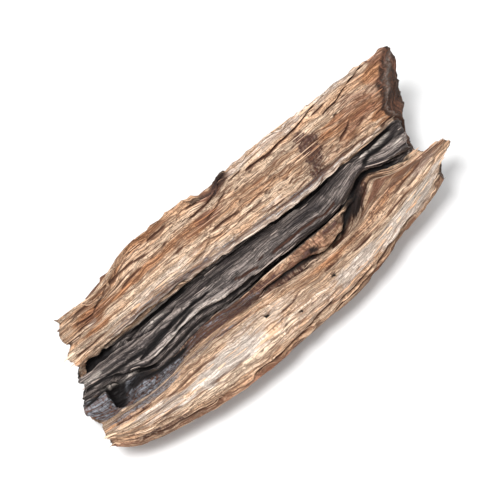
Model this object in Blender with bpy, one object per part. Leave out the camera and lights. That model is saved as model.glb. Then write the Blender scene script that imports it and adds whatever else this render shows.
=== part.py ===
"""A broken piece of agarwood: one solid of wood lying on its split underside.

Frame: metres, +Z up. +X runs along the grain towards the end that rises to a peak, -Y is the side of the low
front ridge, and the origin is under the middle of the piece, on the surface that it rests on.

The piece is a skin drawn over grain lines. A grain line runs from the left broken end to the right one, and
keeps to one feature of the wood, such as the crest of the wall or the bottom of the long split. A
cross-section joins the lines in turn: up the front ridge, over the dark core to the wall, down the back and
home along the underside.
"""

import math
from typing import NamedTuple

import bpy
import numpy as np

MM = 0.001

# How sharply a cross-section turns on a grain line: 0 is a smooth curve and 1 is a corner.
ROUND, FIRM, SHARP = 0.0, 0.45, 0.85


class GrainLine(NamedTuple):
    """A line along the grain. faces counts the faces from it to the next line, and furrow is how furrowed the
    wood is there. Points are (x, y, z) in millimetres, from the left end to the right one."""

    name: str
    turn: float
    faces: int
    furrow: float
    points: tuple


# The upper skin, from the front edge over the top to the back foot. It has twice the faces of the underside.
UPPER_LINES = (
    GrainLine("front_edge", SHARP, 3, 0.6, (
        (-64.5, -16.6, 13.5), (-61, -19.2, 12.5), (-54, -22, 12), (-45.5, -24, 11.5), (-35, -26.2, 11.5),
        (-18.5, -27.6, 11.5), (0, -27.4, 11.5), (18, -27.3, 11.5), (31, -24.9, 12), (40, -22.8, 13),
        (50, -21.7, 14.5), (56.5, -20.6, 16.5))),
    GrainLine("front_face", ROUND, 3, 0.8, (
        (-65, -16, 15.4), (-58.5, -19.8, 16), (-46.5, -22.6, 16), (-26.5, -24.9, 16.5), (-3, -25.3, 16.5),
        (16, -25.2, 16.5), (34, -23, 17), (46, -21, 18.5), (57.5, -18.6, 20))),
    GrainLine("front_crest", ROUND, 3, 0.6, (
        (-65, -15, 16.8), (-57, -17.4, 17.5), (-44, -19.4, 18), (-26, -20.6, 18.5), (-3.5, -21.2, 19),
        (15.5, -21.8, 19), (33.5, -20.4, 19.6), (47.5, -18.4, 21), (63, -15.6, 22))),
    GrainLine("front_inner", FIRM, 2, 0.3, (
        (-63.5, -12.4, 15.6), (-55.5, -13.2, 15.6), (-45.5, -14.4, 16), (-33.5, -13.6, 16.6),
        (-15.5, -14.1, 17), (-1.5, -15, 17.2), (15.5, -16.2, 17.4), (27.5, -15.5, 18), (37.5, -13.8, 18.5),
        (49, -13.4, 20), (62, -13.2, 21))),
    GrainLine("second_split", FIRM, 2, 0.1, (
        (-62, -8.8, 13.5), (-54, -9.6, 12), (-45.5, -10.8, 12.4), (-34.5, -10.8, 13.5), (-23, -10.4, 14),
        (-9, -11.4, 14), (2, -12.3, 13), (9.5, -13, 11.8), (21.5, -13.4, 11.3), (29.5, -11.9, 11.2),
        (35.5, -9, 11.4), (41, -6.3, 12), (44.5, -5, 12.5), (48.5, -8.2, 14), (58.5, -10, 15.5))),
    GrainLine("ledge_front", ROUND, 2, 0.1, (
        (-61.3, -6.8, 14.2), (-54, -7.4, 12.8), (-45.3, -8.9, 13.2), (-34.5, -9.5, 13.8),
        (-23, -8.9, 14.4), (-9, -10.4, 15), (1.5, -11.5, 15.2), (7.5, -12.3, 15.6), (19.5, -12.8, 15.7),
        (27, -11.3, 15.2), (33.5, -8.4, 13.7), (39.5, -5.3, 12.9), (44, -4, 12.8), (49, -7.2, 14),
        (59, -9, 15))),
    GrainLine("ledge_back", FIRM, 2, 0.1, (
        (-61, -5, 14.8), (-54, -5.8, 14.4), (-45.5, -7.3, 14.2), (-40, -8.8, 14), (-34.5, -8.6, 14),
        (-27, -7.8, 14.2), (-22.5, -7.5, 14.5), (-9, -8.8, 15), (1, -9.1, 16), (7.5, -9.4, 16.8),
        (19.5, -9.5, 17), (26.5, -9, 16.5), (32.5, -7.4, 14.8), (38.3, -5, 13.7), (43.5, -3.3, 13.4),
        (49.2, -6.4, 14.2), (59, -8.2, 15.2))),
    GrainLine("split", SHARP, 2, 0.0, (
        (-59.4, -2.1, 14), (-51, -3.3, 13.3), (-44.5, -4.9, 12.6), (-39, -6.7, 12), (-33.5, -6.5, 11.8),
        (-26, -5.5, 11.8), (-21, -5.2, 11.8), (-12, -6.3, 11.8), (2.5, -6.4, 12), (17, -6.6, 12.5),
        (29.5, -6.5, 13), (37.5, -4.3, 13), (43.8, -2.5, 13), (49.5, -5.3, 13.6), (59.5, -7, 14.6))),
    GrainLine("core_front", FIRM, 3, 0.3, (
        (-59.5, -1.5, 16.4), (-52, -2.8, 16.5), (-45.5, -4.5, 16), (-40, -6.5, 15.6), (-34.5, -6.5, 15.6),
        (-27, -5.5, 15.9), (-22.5, -5.3, 16), (-13.5, -6.5, 16.3), (0.5, -6.6, 16.6), (15, -6.9, 17),
        (28, -6.8, 17), (35, -4.9, 17), (42, -2.8, 17), (48, -5.3, 17.3), (58, -7, 17.8))),
    GrainLine("core_crest", ROUND, 2, 0.3, (
        (-59, 0.4, 17), (-45, -1.2, 17.5), (-27, -1.9, 18), (0, -2.4, 18.5), (20, -2.8, 19), (34, -1.4, 19),
        (43, 0.2, 18.6), (50, -1.4, 19), (58, -3, 19.8))),
    GrainLine("core_back", ROUND, 2, 0.3, (
        (-58, 2.4, 16), (-44.5, 2, 15.7), (-26, 1.8, 16), (-7, 1.2, 16.3), (21, -0.8, 17), (41, 0.9, 17.5),
        (58, -1, 18.8))),
    GrainLine("groove", SHARP, 2, 0.0, (
        (-56.5, 4.3, 14.6), (-48, 4.8, 13.4), (-34, 4.7, 13.4), (-15.5, 4.2, 14), (3, 3.1, 15),
        (22, 1.2, 16.4), (41, 1.2, 17.4), (58, 0.5, 19))),
    GrainLine("lip", SHARP, 7, 0.5, (
        (-56.5, 4.7, 18), (-45, 4.4, 18.5), (-26.5, 4.1, 18.6), (-8, 3.1, 19), (1.5, 2.4, 19.1),
        (20.5, 1, 19.5), (41, 1.4, 20), (57, 0.9, 21.4))),
    GrainLine("wall", ROUND, 8, 0.8, (
        (-55.3, 9.4, 22.3), (-36.5, 9.2, 23), (-18.5, 9.5, 24.3), (0, 9, 25), (19, 7.7, 26), (38.5, 7.3, 27),
        (57.7, 6, 28.5))),
    GrainLine("crest", SHARP, 4, 0.7, (
        (-54, 14.2, 25.8), (-46, 13.9, 26.3), (-39, 13.4, 26.6), (-34.5, 14.6, 27.6), (-29, 16.8, 29),
        (-17, 17, 29.6), (-6, 16.6, 30), (2.5, 14.8, 29.8), (9, 15.2, 31), (18, 14.9, 32), (37, 14.3, 33.4),
        (53, 13.6, 34.6), (65.5, 12.2, 36))),
    GrainLine("back_shoulder", FIRM, 3, 1.0, (
        (-51.5, 16.6, 20), (-38, 16.2, 21), (-28, 19, 22.5), (-6, 18.6, 23.5), (3, 17.6, 23.5),
        (18, 17.6, 25), (37, 16.8, 26), (53, 15.8, 27.5), (66, 14.2, 30))),
    GrainLine("back_step", SHARP, 1, 0.6, (
        (-50, 18.4, 15.5), (-30, 20, 15.8), (-5, 19.4, 15), (15, 18.8, 17.5), (40, 17.6, 19.5),
        (66.5, 15.4, 24))),
    GrainLine("back_ledge", FIRM, 2, 0.8, (
        (-49.5, 19.4, 14.6), (-30, 22.2, 14.4), (-5, 22.6, 13.6), (15, 22.2, 16), (40, 20, 18.2),
        (66.5, 16.3, 22.6))),
    GrainLine("back_face", ROUND, 5, 1.2, (
        (-47.5, 20, 9), (-28, 22.8, 9), (0, 23.4, 8.5), (30, 21.6, 10), (67, 16.4, 15))),
)
# The underside, from the back foot to the front edge. It touches the ground along its two rests.
LOWER_LINES = (
    GrainLine("back_foot", FIRM, 4, 1.0, (
        (-46, 18.2, 3.6), (-28, 20.6, 2.6), (0, 21.2, 2.5), (30, 19.4, 3), (65.5, 14.6, 7))),
    GrainLine("back_rest", ROUND, 8, 0.9, (
        (-46.5, 13, 1.2), (-28, 15.5, -0.3), (0, 15.8, -0.5), (30, 13.8, -0.3), (63, 9.4, 4.5))),
    GrainLine("middle_under", ROUND, 7, 1.0, (
        (-56, 1.5, 3), (-30, 1, 1.8), (0, 0.5, 2), (30, 0.5, 1.8), (60, -1.5, 6))),
    GrainLine("front_rest", ROUND, 5, 0.9, (
        (-58.5, -8, 4.5), (-38, -12.2, 0.2), (0, -13.6, -0.5), (24, -13, -0.3), (42, -11.2, 2.4),
        (58, -10.5, 9))),
    GrainLine("front_under", ROUND, 5, 1.0, (
        (-61.5, -12.5, 9), (-50, -17, 5.5), (-38, -20, 4.2), (-18, -21.6, 3.6), (2, -21.8, 3.5),
        (20, -21.2, 3.8), (33, -18.6, 5), (45, -16.6, 7.5), (57, -15.6, 12))),
)
# How many cross-sections the piece has, and how many rows of faces close each broken end.
STATIONS = 48
CAP_ROWS = 4

# Furrows: each has a width across the grain, a length along it and a depth, in millimetres.
FURROWS = ((7.0, 60.0, 0.75), (3.6, 26.0, 0.45))
FURROW_SEED, TEAR_SEED = 11, 18

# The broken ends: how far the fibres stand out or fall short, their width, and how far in that fades.
TEAR_DEPTH, TEAR_WIDTH, TEAR_REACH = 1.6, 2.6, 9.0
# How far each break leans to +X inside the edge of the skin, from the front edge (0) to the back foot (1).
FLARE_PLACES = (0.0, 0.35, 0.62, 0.78, 1.0)
LEFT_FLARE = (2.5, 2.0, 3.0, 3.0, 1.0)
RIGHT_FLARE = (0.5, 0.5, 4.5, 5.0, 1.0)
# The share of the way into each break within which it gets most of the way there.
LEFT_EASE, RIGHT_EASE = 0.45, 0.12
# How much shorter the line is on which a break closes, and how its rows are spaced towards that line.
CAP_SHRINK = 0.12
CAP_EASE = 1.4


class Check(NamedTuple):
    """A long crack along the grain: the line it follows, how far across it lies from that line, its stretch of
    x and its depth."""

    line: str
    offset: float
    start: float
    end: float
    depth: float


CHECKS = (
    Check("crest", -4.5, 8.0, 44.0, 1.6),
    Check("wall", 3.5, -38.0, -2.0, 1.0),
    Check("wall", -3.5, -50.0, -14.0, 0.8),
    Check("front_crest", 1.2, -30.0, 14.0, 0.9),
    Check("front_face", -1.6, -56.0, -10.0, 1.0),
    Check("back_face", -1.0, -34.0, 24.0, 1.8),
    Check("back_face", 4.5, -4.0, 50.0, 1.7),
    Check("back_shoulder", 1.5, -12.0, 46.0, 1.3),
    Check("middle_under", 4.0, -40.0, 20.0, 1.4),
    Check("middle_under", -5.0, -16.0, 44.0, 1.3),
)
CHECK_WIDTH = 1.9

# The rotted hollow at the left end of the trough: an egg that leans down and in.
HOLLOW_CENTRE = (-49.8, -8.2, 11.0)
HOLLOW_RADII = (3.7, 2.6, 6.2)
HOLLOW_LEAN = 35.0
HOLLOW_SEGMENTS, HOLLOW_RINGS = 20, 12

WOOD_COLOUR = (0.56, 0.40, 0.26, 1.0)
WOOD_ROUGHNESS = 0.8


def clear_scene():
    for obj in list(bpy.data.objects):
        bpy.data.objects.remove(obj)


def hermite(start, end, leave, arrive, t):
    """The cubic from start to end that leaves and arrives with the given slopes."""
    return ((1 + 2 * t) * (1 - t) ** 2 * start + t * (1 - t) ** 2 * leave
            + t * t * (3 - 2 * t) * end + t * t * (t - 1) * arrive)


def line_run(points, shares):
    """Places along a grain line. x goes evenly from end to end, and y and z follow a smooth curve through the
    points."""
    points = np.array(points, float)
    knots = (points[:, 0] - points[0, 0]) / (points[-1, 0] - points[0, 0])
    slopes = np.gradient(points, knots, axis=0)
    left = np.clip(np.searchsorted(knots, shares, side="right") - 1, 0, len(knots) - 2)
    width = (knots[left + 1] - knots[left])[:, None]
    t = (shares - knots[left])[:, None] / width
    run = hermite(points[left], points[left + 1], width * slopes[left], width * slopes[left + 1], t)
    run[:, 0] = points[0, 0] + shares * (points[-1, 0] - points[0, 0])
    return run


def ring_grid(shares):
    """Every cross-section as points, and each ring point's distance across the grain and furrow strength."""
    lines = UPPER_LINES + LOWER_LINES
    knots = np.array([line_run(line.points, shares) for line in lines])
    before, after = np.roll(knots, 1, axis=0), np.roll(knots, -1, axis=0)
    gap_before = np.linalg.norm(knots - before, axis=2, keepdims=True)
    gap_after = np.linalg.norm(after - knots, axis=2, keepdims=True)
    slope = (knots - before) * gap_after / gap_before + (after - knots) * gap_before / gap_after
    slope /= gap_before + gap_after
    slope *= 1 - np.array([line.turn for line in lines])[:, None, None]
    rings, across, furrow = [], [], []
    reached = 0.0
    for k, line in enumerate(lines):
        following = (k + 1) % len(lines)
        gap = gap_after[k]
        for t in np.arange(line.faces) / line.faces:
            rings.append(hermite(knots[k], knots[following], gap * slope[k], gap * slope[following], t))
            across.append(reached + t * gap.mean())
            furrow.append(line.furrow + t * (lines[following].furrow - line.furrow))
        reached += gap.mean()
    return np.array(rings), np.array(across), np.array(furrow)


def scatter(column, row, seed):
    """A number from -1 to 1 for each whole pair (column, row), always the same one."""
    mixed = np.sin(column * 127.1 + row * 311.7 + seed * 74.7) * 43758.5453
    return 2 * (mixed - np.floor(mixed)) - 1


def smooth_noise(across, along, seed):
    """Scattered numbers at whole places, blended smoothly between them."""
    column, row = np.floor(across), np.floor(along)
    a, b = across - column, along - row
    a, b = a * a * (3 - 2 * a), b * b * (3 - 2 * b)
    near = scatter(column, row, seed) * (1 - a) + scatter(column + 1, row, seed) * a
    far = scatter(column, row + 1, seed) * (1 - a) + scatter(column + 1, row + 1, seed) * a
    return near * (1 - b) + far * b


def line_place(across, name):
    """How far across the grain a named line lies."""
    lines = UPPER_LINES + LOWER_LINES
    first = [line.name for line in lines].index(name)
    return across[sum(line.faces for line in lines[:first])]


def relief(across, along, furrow):
    """How far the surface stands proud of the plain skin: furrows along the grain, and the long checks."""
    height = np.zeros(along.shape)
    for octave, (width, length, depth) in enumerate(FURROWS):
        height += depth * smooth_noise(across[:, None] / width, along / length, FURROW_SEED + octave)
    height *= furrow[:, None]
    for check in CHECKS:
        centre = line_place(across, check.line) + check.offset
        side = np.clip(1 - np.abs(across - centre) / CHECK_WIDTH, 0, 1)[:, None]
        middle, half = (check.start + check.end) / 2, (check.end - check.start) / 2
        height -= check.depth * side * np.clip(1 - ((along - middle) / half) ** 2, 0, 1)
    return height


def outward(grid):
    """Unit vectors out of the skin at each point of the ring grid."""
    around = np.roll(grid, -1, axis=0) - np.roll(grid, 1, axis=0)
    along = np.gradient(grid, axis=1)
    normal = np.cross(along, around)
    return normal / np.linalg.norm(normal, axis=2, keepdims=True)


def wood_skin():
    """The ring grid with its furrows and checks. Rows are ring points and columns are stations."""
    grid, across, furrow = ring_grid(np.linspace(0, 1, STATIONS))
    return grid + outward(grid) * relief(across, grid[:, :, 0], furrow)[:, :, None]


def broken_ends(grid, upper):
    """Adds rows at both ends, in which the upper and lower skins close on a line half-way between them."""
    partner = np.concatenate([np.arange(upper + 1), np.arange(upper - 2, 0, -2)])
    share = np.arange(upper + 1) / upper
    caps = []
    ends = ((grid[:, 0], LEFT_FLARE, LEFT_EASE), (grid[:, -1], RIGHT_FLARE, RIGHT_EASE))
    for ring, flare, ease in ends:
        underside = np.vstack([ring[upper:], ring[:1]])[::-1]
        halves = np.arange(upper + 1) / 2
        facing = np.stack([np.interp(halves, np.arange(len(underside)), underside[:, axis])
                           for axis in range(3)], axis=1)
        middle = (ring[:upper + 1] + facing) / 2
        middle += (middle.mean(axis=0) - middle) * CAP_SHRINK
        middle = middle[partner]
        lean = np.interp(share, FLARE_PLACES, flare)[partner]
        rows = []
        for row in range(1, CAP_ROWS + 1):
            reach = (row / CAP_ROWS) ** CAP_EASE
            cap = ring * (1 - reach) + middle * reach
            cap[:, 0] += lean * (1 - math.exp(-reach / ease))
            rows.append(cap)
        caps.append(np.stack(rows, axis=1))
    return np.concatenate([caps[0][:, ::-1], grid, caps[1]], axis=1)


def torn(points):
    """Shifts each fibre near a broken end along the grain, so that the ends are ragged."""
    column = np.arange(points.shape[1])
    first, last = CAP_ROWS, points.shape[1] - 1 - CAP_ROWS
    inner_x = points[:, np.clip(column, first, last), 0]
    from_left = inner_x - points[:, first:first + 1, 0]
    from_right = points[:, last:last + 1, 0] - inner_x
    fade = np.clip(1 - np.minimum(from_left, from_right) / TEAR_REACH, 0, 1)
    noise = smooth_noise(points[:, :, 1] / TEAR_WIDTH, points[:, :, 2] / TEAR_WIDTH, TEAR_SEED)
    points[:, :, 0] += TEAR_DEPTH * noise * fade
    return points


def settled(points):
    """Rests the piece on z = 0, with what would hang lower worn flat, and centres its box on the origin."""
    points[:, :, 2] = np.maximum(points[:, :, 2], 0)
    low, high = points.min(axis=(0, 1)), points.max(axis=(0, 1))
    shift = np.array([(low[0] + high[0]) / 2, (low[1] + high[1]) / 2, 0])
    return points - shift, shift


def skin_mesh(points, upper):
    """Faces between neighbouring ring points and stations. In the closing rows the underside shares every
    second point of the upper skin, so its faces there have five corners."""
    ring, stations = points.shape[:2]
    index = np.arange(ring * stations).reshape(ring, stations)
    partner = np.arange(upper - 2, 0, -2)
    for end in (0, -1):
        index[upper + 1:, end] = index[partner, end]
    faces = []
    for i in range(ring):
        following = (i + 1) % ring
        between = 3 * upper - 2 * i - 1
        for j in range(stations - 1):
            face = [index[i, j], index[i, j + 1], index[following, j + 1], index[following, j]]
            if i >= upper and j == stations - 2:
                face.insert(2, index[between, -1])
            if i >= upper and j == 0:
                face.append(index[between, 0])
            faces.append([int(corner) for corner in face])
    used, packed = np.unique(np.concatenate(faces), return_inverse=True)
    corners = iter(packed.reshape(-1).tolist())
    faces = [[next(corners) for _ in face] for face in faces]
    mesh = bpy.data.meshes.new("agarwood_piece")
    mesh.from_pydata(points.reshape(-1, 3)[used] * MM, [], faces)
    mesh.update()
    return mesh


def wood_material():
    material = bpy.data.materials.new("agarwood")
    material.use_nodes = True
    shader = material.node_tree.nodes["Principled BSDF"]
    shader.inputs["Base Color"].default_value = WOOD_COLOUR
    shader.inputs["Roughness"].default_value = WOOD_ROUGHNESS
    shader.inputs["Metallic"].default_value = 0.0
    return material


def rot_hollow(shift):
    """The shape of the rotted hollow."""
    bpy.ops.mesh.primitive_uv_sphere_add(segments=HOLLOW_SEGMENTS, ring_count=HOLLOW_RINGS, radius=1.0)
    hollow = bpy.context.active_object
    hollow.name = "rot_hollow_cutter"
    hollow.scale = [radius * MM for radius in HOLLOW_RADII]
    hollow.rotation_euler = (0, math.radians(-HOLLOW_LEAN), 0)
    hollow.location = [(place - moved) * MM for place, moved in zip(HOLLOW_CENTRE, shift)]
    bpy.ops.object.transform_apply(location=False, rotation=False, scale=True)
    hollow.hide_render = True
    hollow.display_type = "WIRE"
    return hollow


def agarwood_piece():
    upper = sum(line.faces for line in UPPER_LINES)
    points, shift = settled(torn(broken_ends(wood_skin(), upper)))
    piece = bpy.data.objects.new("agarwood_piece", skin_mesh(points, upper))
    bpy.context.scene.collection.objects.link(piece)
    piece.data.materials.append(wood_material())
    cut = piece.modifiers.new("rot hollow", "BOOLEAN")
    cut.operation = "DIFFERENCE"
    cut.object = rot_hollow(shift)
    return piece


clear_scene()
agarwood_piece()
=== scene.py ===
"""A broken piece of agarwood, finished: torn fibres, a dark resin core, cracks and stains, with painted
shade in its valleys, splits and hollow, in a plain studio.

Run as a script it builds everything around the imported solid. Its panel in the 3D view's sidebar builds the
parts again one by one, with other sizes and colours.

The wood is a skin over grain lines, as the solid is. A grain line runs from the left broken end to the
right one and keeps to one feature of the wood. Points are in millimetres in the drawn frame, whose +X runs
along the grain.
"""

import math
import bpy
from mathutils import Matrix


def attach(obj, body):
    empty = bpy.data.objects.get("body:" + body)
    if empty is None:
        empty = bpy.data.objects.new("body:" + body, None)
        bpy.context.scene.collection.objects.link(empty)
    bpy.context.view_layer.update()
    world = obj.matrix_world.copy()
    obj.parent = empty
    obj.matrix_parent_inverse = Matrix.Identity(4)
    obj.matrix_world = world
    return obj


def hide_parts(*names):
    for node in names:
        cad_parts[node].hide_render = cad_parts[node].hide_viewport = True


bl_info = {
    "name": "Agarwood piece",
    "version": (1, 0, 0),
    "blender": (4, 5, 0),
    "location": "3D View > Sidebar > Agarwood",
    "description": "Builds a broken piece of agarwood with its torn fibres, and a studio around it",
    "category": "Add Mesh",
}

from typing import NamedTuple

import bpy
import numpy as np
from bpy.props import FloatProperty, FloatVectorProperty, IntProperty, PointerProperty
from mathutils import Matrix, Vector

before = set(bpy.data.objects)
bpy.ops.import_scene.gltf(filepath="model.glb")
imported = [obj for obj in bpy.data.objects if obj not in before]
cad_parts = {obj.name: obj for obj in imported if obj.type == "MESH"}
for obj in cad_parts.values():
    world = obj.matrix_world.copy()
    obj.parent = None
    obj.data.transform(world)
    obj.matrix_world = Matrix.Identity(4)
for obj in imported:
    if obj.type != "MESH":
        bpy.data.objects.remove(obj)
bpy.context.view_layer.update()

MM = 0.001

# The middle of the drawn piece's box, which goes over the origin.
DRAWN_MIDDLE = (2.164, -1.745, 0.0)

# How sharply a cross-section turns on a grain line: 0 is a smooth curve and 1 is a corner.
ROUND, FIRM, SHARP = 0.0, 0.45, 0.85


class GrainLine(NamedTuple):
    """A line along the grain. faces is its share of the mesh up to the next line, and furrow is how
    furrowed the wood is there. Points are (x, y, z), from the left end to the right one."""

    name: str
    turn: float
    faces: int
    furrow: float
    points: tuple


# The upper skin, from the front edge over the top to the back foot. It has twice the faces of the
# underside.
UPPER_LINES = (
    GrainLine("front_edge", SHARP, 3, 0.6, (
        (-64.5, -16.6, 13.5), (-61, -19.2, 12.5), (-54, -22, 12), (-45.5, -24, 11.5), (-35, -26.2, 11.5),
        (-18.5, -27.6, 11.5), (0, -27.4, 11.5), (18, -27.3, 11.5), (31, -24.9, 12), (40, -22.8, 13),
        (50, -21.7, 14.5), (56.5, -20.6, 16.5))),
    GrainLine("front_face", ROUND, 3, 0.8, (
        (-65, -16, 15.4), (-58.5, -19.8, 16), (-46.5, -22.6, 16), (-26.5, -24.9, 16.5), (-3, -25.3, 16.5),
        (16, -25.2, 16.5), (34, -23, 17), (46, -21, 18.5), (57.5, -18.6, 20))),
    GrainLine("front_crest", ROUND, 3, 0.6, (
        (-65, -15, 16.8), (-57, -17.4, 17.5), (-44, -19.4, 18), (-26, -20.6, 18.5), (-3.5, -21.2, 19),
        (15.5, -21.8, 19), (33.5, -20.4, 19.6), (47.5, -18.4, 21), (63, -15.6, 22))),
    GrainLine("front_inner", FIRM, 2, 0.3, (
        (-63.5, -12.4, 15.6), (-55.5, -13.2, 15.6), (-45.5, -14.4, 16), (-33.5, -13.6, 16.6),
        (-15.5, -14.1, 17), (-1.5, -15, 17.2), (15.5, -16.2, 17.4), (27.5, -15.5, 18), (37.5, -13.8, 18.5),
        (49, -13.4, 20), (62, -13.2, 21))),
    GrainLine("second_split", FIRM, 2, 0.1, (
        (-62, -8.8, 13.5), (-54, -9.6, 12), (-45.5, -10.8, 12.4), (-34.5, -10.8, 13.5), (-23, -10.4, 14),
        (-9, -11.4, 14), (2, -12.3, 13), (9.5, -13, 11.8), (21.5, -13.4, 11.3), (29.5, -11.9, 11.2),
        (35.5, -9, 11.4), (41, -6.3, 12), (44.5, -5, 12.5), (48.5, -8.2, 14), (58.5, -10, 15.5))),
    GrainLine("ledge_front", ROUND, 2, 0.1, (
        (-61.3, -6.8, 14.2), (-54, -7.4, 12.8), (-45.3, -8.9, 13.2), (-34.5, -9.5, 13.8),
        (-23, -8.9, 14.4), (-9, -10.4, 15), (1.5, -11.5, 15.2), (7.5, -12.3, 15.6), (19.5, -12.8, 15.7),
        (27, -11.3, 15.2), (33.5, -8.4, 13.7), (39.5, -5.3, 12.9), (44, -4, 12.8), (49, -7.2, 14),
        (59, -9, 15))),
    GrainLine("ledge_back", FIRM, 2, 0.1, (
        (-61, -5, 14.8), (-54, -5.8, 14.4), (-45.5, -7.3, 14.2), (-40, -8.8, 14), (-34.5, -8.6, 14),
        (-27, -7.8, 14.2), (-22.5, -7.5, 14.5), (-9, -8.8, 15), (1, -9.1, 16), (7.5, -9.4, 16.8),
        (19.5, -9.5, 17), (26.5, -9, 16.5), (32.5, -7.4, 14.8), (38.3, -5, 13.7), (43.5, -3.3, 13.4),
        (49.2, -6.4, 14.2), (59, -8.2, 15.2))),
    GrainLine("split", SHARP, 2, 0.0, (
        (-59.4, -2.1, 14), (-51, -3.3, 13.3), (-44.5, -4.9, 12.6), (-39, -6.7, 12), (-33.5, -6.5, 11.8),
        (-26, -5.5, 11.8), (-21, -5.2, 11.8), (-12, -6.3, 11.8), (2.5, -6.4, 12), (17, -6.6, 12.5),
        (29.5, -6.5, 13), (37.5, -4.3, 13), (43.8, -2.5, 13), (49.5, -5.3, 13.6), (59.5, -7, 14.6))),
    GrainLine("core_front", FIRM, 3, 0.3, (
        (-59.5, -1.5, 16.4), (-52, -2.8, 16.5), (-45.5, -4.5, 16), (-40, -6.5, 15.6), (-34.5, -6.5, 15.6),
        (-27, -5.5, 15.9), (-22.5, -5.3, 16), (-13.5, -6.5, 16.3), (0.5, -6.6, 16.6), (15, -6.9, 17),
        (28, -6.8, 17), (35, -4.9, 17), (42, -2.8, 17), (48, -5.3, 17.3), (58, -7, 17.8))),
    GrainLine("core_crest", ROUND, 2, 0.3, (
        (-59, 0.4, 17), (-45, -1.2, 17.5), (-27, -1.9, 18), (0, -2.4, 18.5), (20, -2.8, 19), (34, -1.4, 19),
        (43, 0.2, 18.6), (50, -1.4, 19), (58, -3, 19.8))),
    GrainLine("core_back", ROUND, 2, 0.3, (
        (-58, 2.4, 16), (-44.5, 2, 15.7), (-26, 1.8, 16), (-7, 1.2, 16.3), (21, -0.8, 17), (41, 0.9, 17.5),
        (58, -1, 18.8))),
    GrainLine("groove", SHARP, 2, 0.0, (
        (-56.5, 4.3, 14.6), (-48, 4.8, 13.4), (-34, 4.7, 13.4), (-15.5, 4.2, 14), (3, 3.1, 15),
        (22, 1.2, 16.4), (41, 1.2, 17.4), (58, 0.5, 19))),
    GrainLine("lip", SHARP, 7, 0.5, (
        (-56.5, 4.7, 18), (-45, 4.4, 18.5), (-26.5, 4.1, 18.6), (-8, 3.1, 19), (1.5, 2.4, 19.1),
        (20.5, 1, 19.5), (41, 1.4, 20), (57, 0.9, 21.4))),
    GrainLine("wall", ROUND, 8, 0.8, (
        (-55.3, 9.4, 22.3), (-36.5, 9.2, 23), (-18.5, 9.5, 24.3), (0, 9, 25), (19, 7.7, 26), (38.5, 7.3, 27),
        (57.7, 6, 28.5))),
    GrainLine("crest", SHARP, 4, 0.7, (
        (-54, 14.2, 25.8), (-46, 13.9, 26.3), (-39, 13.4, 26.6), (-34.5, 14.6, 27.6), (-29, 16.8, 29),
        (-17, 17, 29.6), (-6, 16.6, 30), (2.5, 14.8, 29.8), (9, 15.2, 31), (18, 14.9, 32), (37, 14.3, 33.4),
        (53, 13.6, 34.6), (65.5, 12.2, 36))),
    GrainLine("back_shoulder", FIRM, 3, 1.0, (
        (-51.5, 16.6, 20), (-38, 16.2, 21), (-28, 19, 22.5), (-6, 18.6, 23.5), (3, 17.6, 23.5),
        (18, 17.6, 25), (37, 16.8, 26), (53, 15.8, 27.5), (66, 14.2, 30))),
    GrainLine("back_step", SHARP, 1, 0.6, (
        (-50, 18.4, 15.5), (-30, 20, 15.8), (-5, 19.4, 15), (15, 18.8, 17.5), (40, 17.6, 19.5),
        (66.5, 15.4, 24))),
    GrainLine("back_ledge", FIRM, 2, 0.8, (
        (-49.5, 19.4, 14.6), (-30, 22.2, 14.4), (-5, 22.6, 13.6), (15, 22.2, 16), (40, 20, 18.2),
        (66.5, 16.3, 22.6))),
    GrainLine("back_face", ROUND, 5, 1.2, (
        (-47.5, 20, 9), (-28, 22.8, 9), (0, 23.4, 8.5), (30, 21.6, 10), (67, 16.4, 15))),
)
# The underside, from the back foot to the front edge. It touches the ground along its two rests.
LOWER_LINES = (
    GrainLine("back_foot", FIRM, 4, 1.0, (
        (-46, 18.2, 3.6), (-28, 20.6, 2.6), (0, 21.2, 2.5), (30, 19.4, 3), (65.5, 14.6, 7))),
    GrainLine("back_rest", ROUND, 8, 0.9, (
        (-46.5, 13, 1.2), (-28, 15.5, -0.3), (0, 15.8, -0.5), (30, 13.8, -0.3), (63, 9.4, 4.5))),
    GrainLine("middle_under", ROUND, 7, 1.0, (
        (-56, 1.5, 3), (-30, 1, 1.8), (0, 0.5, 2), (30, 0.5, 1.8), (60, -1.5, 6))),
    GrainLine("front_rest", ROUND, 5, 0.9, (
        (-58.5, -8, 4.5), (-38, -12.2, 0.2), (0, -13.6, -0.5), (24, -13, -0.3), (42, -11.2, 2.4),
        (58, -10.5, 9))),
    GrainLine("front_under", ROUND, 5, 1.0, (
        (-61.5, -12.5, 9), (-50, -17, 5.5), (-38, -20, 4.2), (-18, -21.6, 3.6), (2, -21.8, 3.5),
        (20, -21.2, 3.8), (33, -18.6, 5), (45, -16.6, 7.5), (57, -15.6, 12))),
)
LINES = UPPER_LINES + LOWER_LINES
LINE_NUMBER = {line.name: number for number, line in enumerate(LINES)}
# The mesh: points across for each face of a line, cross-sections, and rows that close each broken end.
REFINE = 6
STATIONS = 158
CAP_ROWS = 15
# How much closer together the cross-sections are at the ends than in the middle.
END_CROWDING = 0.3

# Furrows: each has a width across the grain, a length along it and a depth.
FURROWS = ((7.0, 60.0, 0.75), (3.6, 26.0, 0.45))
FURROW_SEED = 11
# Bundles and single fibres: narrower, with sharp valleys between them. They sway across the grain, by a
# width, a length and an amount.
FIBRES = ((2.0, 46.0, 0.4), (1.05, 24.0, 0.3), (0.6, 12.0, 0.2))
FIBRE_SWAY = (5.0, 13.0, 0.6)
FIBRE_SEED = 31
# The mean of the root that gives a fibre its height, which leaves the wood as thick as it was.
FIBRE_MEAN = 0.6
# The fibres' height where the wood has no furrows, and what full furrows add to it.
SMOOTH_FIBRES, ROUGH_FIBRES = 0.45, 0.55
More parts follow.
